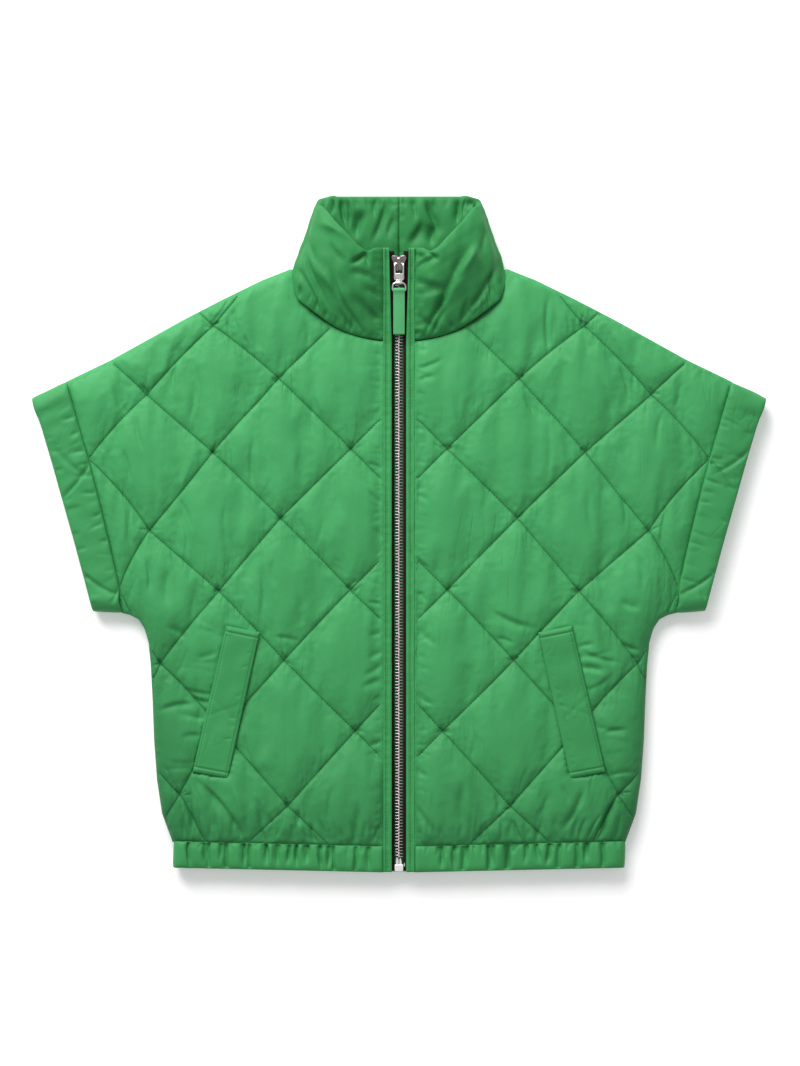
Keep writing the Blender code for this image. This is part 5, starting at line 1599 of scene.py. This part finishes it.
# %% [markdown]
# ## Stitches
# Every line of sewing shows as a row of small thread humps, about three to a centimetre. One hump is a
# short four-sided capsule. Rows of them are set along paths on the cloth and joined into one mesh.

# %% Stitch helpers
STITCH_STEP, STITCH_LENGTH, STITCH_WIDTH = 3.2, 2.2, 0.55
CAPSULE = np.array([  # along, size, up
    (-0.5, 0.3, -0.6), (-0.3, 1.0, 0.0), (0.3, 1.0, 0.0), (0.5, 0.3, -0.6)])


def stitch_mesh(name, paths):
    """One mesh of capsules along the paths, each a row of points in millimetres on the cloth."""
    middles, ways = [], []
    for path in paths:
        even = resampled(np.asarray(path, dtype=float), STITCH_STEP)
        if len(even) < 2:
            continue
        middles.append((even[1:] + even[:-1]) / 2)
        ways.append((even[1:] - even[:-1]) / np.linalg.norm(even[1:] - even[:-1], axis=1, keepdims=True))
    middle, way = np.vstack(middles), np.vstack(ways)
    side = np.cross(way, (0.0, 0.0, 1.0))
    up = np.cross(side, way)
    turn = np.radians(45 + 90 * np.arange(4))
    along, size, lift = CAPSULE.T
    radius = STITCH_WIDTH / 2 * size[:, None]
    template = np.stack([np.broadcast_to(along[:, None] * STITCH_LENGTH, (4, 4)), radius * np.cos(turn),
                         radius * np.sin(turn) + lift[:, None] * STITCH_WIDTH / 2], axis=2).reshape(-1, 3)
    points = (middle[:, None] + template[:, 0, None] * way[:, None] + template[:, 1, None] * side[:, None]
              + template[:, 2, None] * up[:, None])
    quads = ring_faces(4, 4)[0][:12]
    faces = np.vstack([quads, [(3, 2, 1, 0), (12, 13, 14, 15)]])
    shift = np.arange(len(middle))[:, None, None] * 16
    return make_mesh(name, points.reshape(-1, 3), (faces + shift).reshape(-1, 4))


def runs(mask):
    """Start and stop of every run of True."""
    change = np.flatnonzero(np.diff(np.concatenate([[0], mask.astype(int), [0]])))
    return change.reshape(-1, 2)


def quilting_paths():
    """Plan paths of the quilting on the wearer's left front, clear of its seams and of the welt."""
    paths = []
    fine = np.linspace(-FRONT_SPAN, FRONT_SPAN, 900)
    for number in range(-FRONT_SPAN, FRONT_SPAN + 1):
        for first, second in ((number + 0 * fine, fine), (fine, number + 0 * fine)):
            plan = front_net(first + second, first - second)
            good = within(plan, outline_front) & (distance_to(plan, ring_front) > 3.5)
            good &= ~within(plan, WELT) & (distance_to(plan, welt_ring) > 1.5)
            paths += [plan[a:b] for a, b in runs(good) if b - a > 6]
    return paths


def sew(name, paths):
    return finish_piece(name, stitch_mesh(name, paths), thread)


front_quilting = quilting_paths()
for side, sign in SIDES:
    paths = []
    for plan in front_quilting:
        z = front_height(plan, 0.0) + front_relief(plan, sign, *FRONT_FOLDS[side]) + 0.1
        paths.append(np.column_stack([plan * (sign, 1.0), z]))
    sewn = sew(f"quilting_{side}", paths)
print("quilting lines on a front:", len(front_quilting))

# %% [markdown]
# A facing is sewn down with two close rows that sink into its groove. A welt is sewn across both ends
# and along its outer side, and stays open along the inner one.

# %% Sew facings and welts
FACING_ROWS_X, FACING_ROWS_SUNK = (11.2, 13.3), 1.3
WELT_OUTER_V, WELT_END_U = 0.93, 0.038


def welt_seams():
    """Places in u and v along the three seams of a welt: its outer side, its top and its foot."""
    across = np.linspace(0.08, WELT_OUTER_V, 20)
    ends = [(np.full(20, u), across) for u in (WELT_END_U, 1 - WELT_END_U)]
    return [(np.linspace(0.05, 0.95, 80), np.full(80, WELT_OUTER_V)), *ends]


for side, sign in SIDES:
    y = np.linspace(foot_y + 4, RAMP_TOP_Y - 3, 400)
    sunk = facing_z(y) - FACING_ROWS_SUNK
    rows = [np.column_stack([np.full(400, x * sign), y, sunk]) for x in FACING_ROWS_X]
    sewn = sew(f"facing_stitches_{side}", rows)
    rows = []
    for u, v in welt_seams():
        plan = welt_plan(u, v)
        z = WELT_FLOOR_Z + welt_height(plan, u, v, WELT_SEEDS[side]) + 0.1
        rows.append(np.column_stack([plan * (sign, 1.0), z]))
    sewn = sew(f"welt_stitches_{side}", rows)

# %% [markdown]
# ## The teeth
# Each tooth is a small forked casting: legs that grip the tape, a waist, and a head that sits between
# two heads of the other side. All teeth are one mesh, worked out as a small template added to an array
# of places, with a slope that follows the ramp.

# %% Build the teeth
TOOTH_PITCH = 3.04
CHAIN_FOOT_Y, CHAIN_HEAD_Y = -322.0, 260.4
TOOTH_WOBBLE = 0.05
TOOTH_SECTIONS = np.array([  # x, half width along the zip, half height
    (4.1, 0.30, 0.85), (3.8, 0.45, 1.25), (2.2, 0.42, 1.35), (0.9, 0.50, 1.5), (-0.2, 0.74, 1.85),
    (-0.95, 0.55, 1.3)])


def octagon(half_width, half_height):
    turn = np.radians(22.5 + 45 * np.arange(8))
    return np.column_stack([np.cos(turn) * half_width, np.sin(turn) * half_height]) / np.cos(np.pi / 8)


def on_the_zip(points, y):
    """Points given as (x, along, off the tape) about a place y on the chain's middle."""
    slope = np.where(y > RAMP_START_Y, RAMP_ANGLE, 0.0)
    along = np.stack([0 * slope, np.cos(slope), np.sin(slope)], axis=-1)
    off = np.stack([0 * slope, -np.sin(slope), np.cos(slope)], axis=-1)
    middle = np.stack([0 * y, y, facing_z(y) - CHAIN_BELOW_FACING], axis=-1)
    across = np.array([1.0, 0.0, 0.0])
    return middle + points[..., :1] * across + points[..., 1:2] * along + points[..., 2:] * off


def make_teeth():
    template = np.array([np.column_stack([np.full(8, x), octagon(w, h)]) for x, w, h in TOOTH_SECTIONS])
    quads, tips = ring_faces(len(TOOTH_SECTIONS), 8)
    template = template.reshape(-1, 3)
    y = np.arange(CHAIN_FOOT_Y, CHAIN_HEAD_Y, TOOTH_PITCH / 2)
    side = np.where(np.arange(len(y)) % 2 == 0, 1.0, -1.0)
    random = np.random.default_rng(131)
    points = template * np.stack([side, np.ones(len(y)), np.ones(len(y))], axis=1)[:, None]
    points[..., 2] += random.normal(0, TOOTH_WOBBLE, (len(y), 1))
    placed = on_the_zip(points, np.broadcast_to(y[:, None], points.shape[:2]))
    shift = np.arange(len(y))[:, None, None] * len(template)
    blocks = []
    for faces in (quads, tips):
        turned = np.where(side[:, None, None] > 0, faces, faces[:, ::-1])
        blocks.append((turned + shift).reshape(-1, faces.shape[1]))
    mesh = make_mesh("zip_teeth", placed.reshape(-1, 3), *blocks)
    print(len(y), "teeth of", len(quads) + len(tips), "faces")
    return finish_piece("zip_teeth", mesh, tooth_metal, ["zip_chain"])


make_teeth()

# %% [markdown]
# ## Metal parts of the zip
# Slider, puller and foot are cast, so their edges are rounded. A plate is its outline with softened
# corners, repeated at several heights and drawn in by a quarter circle at the top and the bottom.

# %% Plate and wire helpers


def softened(outline, rounds=3, share=0.22):
    """The closed outline with each corner cut at that share of its two sides, again and again."""
    line = np.asarray(outline, dtype=float)
    for _ in range(rounds):
        ahead = np.roll(line, -1, axis=0)
        line = np.stack([line + (ahead - line) * share, ahead + (line - ahead) * share],
                        axis=1).reshape(-1, 2)
    return line


def plate(outline, low, high, bevel, steps=5):
    """Points and faces of a flat plate with rounded rims, between two heights."""
    line = np.asarray(outline, dtype=float)
    if (line[:, 0] * np.roll(line[:, 1], -1) - np.roll(line[:, 0], -1) * line[:, 1]).sum() < 0:
        line = line[::-1]
    ahead = np.roll(line, -1, axis=0) - np.roll(line, 1, axis=0)
    inward = np.column_stack([-ahead[:, 1], ahead[:, 0]]) / np.linalg.norm(ahead, axis=1, keepdims=True)
    turn = np.linspace(0, np.pi / 2, steps)
    drawn_in = bevel * (1 - np.concatenate([np.sin(turn), np.sin(turn)[::-1]]))
    z = np.concatenate([low + bevel * (1 - np.cos(turn)), high - bevel * (1 - np.cos(turn[::-1]))])
    flat = line[None] + inward[None] * drawn_in[:, None, None]
    points = np.dstack([flat, np.broadcast_to(z[:, None, None], (*flat.shape[:2], 1))])
    rows, count = points.shape[:2]
    quads = ring_faces(rows, count)[0][:(rows - 1) * count]
    lids = np.array([np.arange(count)[::-1], np.arange(count) + (rows - 1) * count])
    return points.reshape(-1, 3), [quads, lids]


def wire(path, radius, sides=12, closed=True):
    """Points and faces of a round wire along a path."""
    path = np.asarray(path, dtype=float)
    ahead = np.roll(path, -1, axis=0) - np.roll(path, 1, axis=0)
    if not closed:
        ahead = np.gradient(path, axis=0)
    ahead /= np.linalg.norm(ahead, axis=1, keepdims=True)
    up = np.array([0.0, 0.0, 1.0]) if np.abs(ahead[:, 2]).max() < 0.9 else np.array([1.0, 0.0, 0.0])
    beside = np.cross(ahead, up)
    beside /= np.linalg.norm(beside, axis=1, keepdims=True)
    over = np.cross(beside, ahead)
    turn = np.arange(sides) * 2 * np.pi / sides
    rings = path[:, None] + radius * (np.cos(turn)[:, None] * beside[:, None]
                                      + np.sin(turn)[:, None] * over[:, None])
    return rings.reshape(-1, 3), ring_faces(len(path), sides, closed)


def merged_mesh(name, parts):
    """One mesh of several closed parts, each turned to face outwards."""
    shift, everything, blocks = 0, [], {}
    for points, faces in parts:
        faces = [np.asarray(f) for f in faces if len(f)]
        if sum(signed_volume(points, f) for f in faces) < 0:
            faces = [f[:, ::-1] for f in faces]
        for block in faces:
            blocks.setdefault(block.shape[1], []).append(block + shift)
        everything.append(points)
        shift += len(points)
    return make_mesh(name, np.vstack(everything), *[np.vstack(b) for b in blocks.values()])


def on_ramp(points, axis):
    """Points given from an axis as (x, up the ramp, off the ramp) to their real place."""
    x, up, off = np.asarray(points, dtype=float).T
    cos, sin = np.cos(RAMP_ANGLE), np.sin(RAMP_ANGLE)
    return np.column_stack([x, up * cos - off * sin, up * sin + off * cos]) + axis


PULLER_AXIS = np.array([0.0, 269.5, facing_z(269.5) - 0.05])
PULLER_LENGTH, PULLER_WIDTH, PULLER_THICKNESS = 19.0, 10.5, 1.5
RING_AXIS = on_ramp([(0.0, -PULLER_LENGTH, 0.0)], PULLER_AXIS)[0]
print("puller axis", PULLER_AXIS.round(2), "ring axis", RING_AXIS.round(2))

# %% [markdown]
# The slider is two shoulders and a waist, with a bridge on top that the puller's bar runs under. The
# foot of the zip is a polished box and pin.

# %% Build the slider and the foot


def make_slider():
    chain_z = -CHAIN_BELOW_FACING + 0.05
    outline = softened([(-5.4, -7.5), (5.4, -7.5), (5.6, 1.0), (7.7, 5.2), (6.6, 8.0), (2.2, 7.4),
                        (0.0, 6.4), (-2.2, 7.4), (-6.6, 8.0), (-7.7, 5.2), (-5.6, 1.0)], 2)
    upper, lower = plate(outline, chain_z + 1.95, -1.05, 0.55), plate(outline, chain_z - 3.2, chain_z - 1.95,
                                                                    0.5)
    post = plate(softened([(-1.6, 1.0), (1.6, 1.0), (2.6, 7.0), (-2.6, 7.0)], 1), chain_z - 2.4,
                 chain_z + 2.4, 0.2)
    rise = [(6.5, -1.6), (6.1, 0.2), (5.2, 1.25), (3.6, 1.62), (0.0, 1.7), (-3.8, 1.62), (-5.6, 1.3),
            (-6.5, 0.2), (-6.8, -1.6)]
    path = through(np.column_stack([np.zeros(9), np.array(rise), np.zeros((9, 3))]), 40)[:, :3]
    points, faces = wire(path, 0.55, 12, closed=False)
    bridge = (points * (4.0, 1.0, 1.0), faces)
    mesh = merged_mesh("slider", [(on_ramp(p, PULLER_AXIS), f) for p, f in (upper, lower, post, bridge)])
    finish_piece("slider", mesh, slider_metal, ["zip_slider"])


def make_foot():
    middle = FACING_Z - CHAIN_BELOW_FACING
    box = plate(softened([(-4.3, -336.6), (4.3, -336.6), (4.4, -329.6), (-4.4, -329.6)], 2, 0.1),
                middle - 1.9, middle + 1.9, 0.8)
    pin = plate(softened([(-3.3, -330.5), (-0.2, -330.5), (-0.4, -323.8), (-2.9, -322.2)], 2),
                middle - 1.5, middle + 1.9, 0.9)
    second = plate(softened([(0.2, -330.5), (3.0, -330.5), (2.4, -324.0), (0.6, -323.4)], 2),
                   middle - 1.4, middle + 1.1, 0.7)
    stop = plate(softened([(4.9, -331.5), (6.2, -332.0), (6.0, -328.6), (5.2, -327.6)], 2),
                 middle - 0.2, middle + 1.5, 0.5)
    finish_piece("foot", merged_mesh("foot", [box, pin, second, stop]), foot_metal, ["zip_foot"])


make_slider()
make_foot()

# %% [markdown]
# The puller is a frame: a bar that turns under the slider's bridge, two side bars, a plate, and an eye.
# A wire ring turns in the eye. Its arch is a superellipse, so it runs straight through the eye, and a
# straight side closes it below.

# %% Build the puller and the ring
EYE_HALF_WIDTH = 3.3  # the plate ends in an eye nearly as wide as itself
EYE_INNER, EYE_OUTER, SIDE_BAR = 1.2, 1.7, 0.98  # radii


def make_puller():
    half, thick = PULLER_WIDTH / 2, PULLER_THICKNESS / 2
    foot = -PULLER_LENGTH + 2.0
    corners = [(half - 1.2, foot), (half, foot + 1.8), (half - 0.3, -9.6)]
    corners = [(-half + 1.2, foot), *corners, (-half + 0.3, -9.6), (-half, foot + 1.8)]
    body = plate(softened(corners, 2), -thick, thick, 0.45)
    bar = wire(np.column_stack([np.linspace(-half + 0.4, half - 0.4, 5), np.zeros((5, 2))]), 0.75, 12, False)
    parts = [body, bar]
    for sign in (-1.0, 1.0):
        x = np.array([half - 1.15, half - 1.05, half - 1.0, half - 1.3]) * sign
        path = np.column_stack([x, [0.3, -3.0, -9.0, foot + 2.0], np.zeros(4)])
        parts.append(wire(path, SIDE_BAR, 12, False))
    wide = EYE_HALF_WIDTH
    neck = plate(softened([(-wide, foot - 0.5), (wide, foot - 0.5), (wide, foot + 1.0),
                           (-wide, foot + 1.0)], 1), -0.9, 0.9, 0.3)
    turn = np.arange(28) * 2 * np.pi / 28
    rim = EYE_OUTER - 0.2
    sections = [(-wide, rim), (0.3 - wide, EYE_OUTER), (wide - 0.3, EYE_OUTER), (wide, rim),
                (wide, EYE_INNER), (-wide, EYE_INNER)]
    eye = np.array([np.column_stack([np.full(28, x), -PULLER_LENGTH + r * np.cos(turn), r * np.sin(turn)])
                    for x, r in sections])
    parts += [neck, (eye.reshape(-1, 3), ring_faces(6, 28, closed=True))]
    mesh = merged_mesh("puller_metal", [(on_ramp(p, PULLER_AXIS), f) for p, f in parts])
    finish_piece("puller_metal", mesh, pull_metal, ["zip_puller"], "puller")


RING_HALF_WIDTH, RING_DROP, RING_WIRE = 6.55, 7.4, 1.6
RING_POWER = 3.0  # its arch is flat where it passes through the eye, then turns down quickly
TAB_WIDTH, TAB_LENGTH, TAB_PLY = 11.4, 46.5, 1.1


def make_ring():
    turn = np.radians(np.linspace(90, 0, 12))
    across, down = np.cos(turn) ** (2 / RING_POWER), np.sin(turn) ** (2 / RING_POWER) - 1
    arch = np.column_stack([RING_HALF_WIDTH * across, (RING_DROP - 1.6) * down])
    half = np.vstack([arch, [(RING_HALF_WIDTH, -RING_DROP + 0.7), (TAB_WIDTH / 2 + 0.45, -RING_DROP)]])
    path = np.vstack([half, half[::-1][:-1] * (-1.0, 1.0)])
    rows = np.column_stack([path, np.zeros((len(path), 4))])
    fine = through(rows, 90, turn=np.zeros(6))[:, :3]
    fine[:, 2] = 0.0
    points, faces = wire(fine, RING_WIRE / 2, 14)
    finish_piece("ring_wire", merged_mesh("ring_wire", [(on_ramp(points, RING_AXIS), faces)]), pull_metal,
                 ["pull_ring"], "tab")


make_puller()
make_ring()

# %% [markdown]
# The cloth tab is one strip, folded round the ring's straight side so that its two plies lie on each
# other. Seen from the side it is a closed profile, and the tab is that profile with a width.

# %% Build the pull tab


def make_tab():
    """The folded strip's profile, up the ramp and off it, is the outline of a plate that lies on its side."""
    inner, split = RING_WIRE / 2 + SEAM_GAP, SEAM_GAP / 2
    outer = inner + TAB_PLY
    tail, meet = -RING_DROP - TAB_LENGTH + outer, -RING_DROP - 4.0
    over, under = (np.radians(np.linspace(*ends, 14)) for ends in ((-35, 215), (240, -60)))
    loops = [np.column_stack([r * np.sin(t) - RING_DROP, r * np.cos(t)]) for r, t in
             ((outer, over), (inner, under))]
    profile = np.vstack([
        resampled(np.array([(tail, split + TAB_PLY), (meet, split + TAB_PLY)]), 1.2), loops[0],
        resampled(np.array([(meet, -split - TAB_PLY), (tail, -split - TAB_PLY)]), 1.2),
        resampled(np.array([(tail, -split), (meet + 1.2, -split)]), 1.2), loops[1],
        resampled(np.array([(meet + 1.2, split), (tail, split)]), 1.2)])
    points, faces = plate(profile, -TAB_WIDTH / 2, TAB_WIDTH / 2, 0.22, 4)
    up, off, x = points.T
    sag = 0.18 * np.sin(up / 7.0) * soft_step(-up, 12, 30)
    mesh = merged_mesh("tab_cloth", [(on_ramp(np.column_stack([x, up, off + sag]), RING_AXIS), faces)])
    item = finish_piece("tab_cloth", mesh, tab_cloth, ["pull_tab"], "tab")
    print("tab surface:", round(area_of(mesh), 5), "m2")


make_tab()
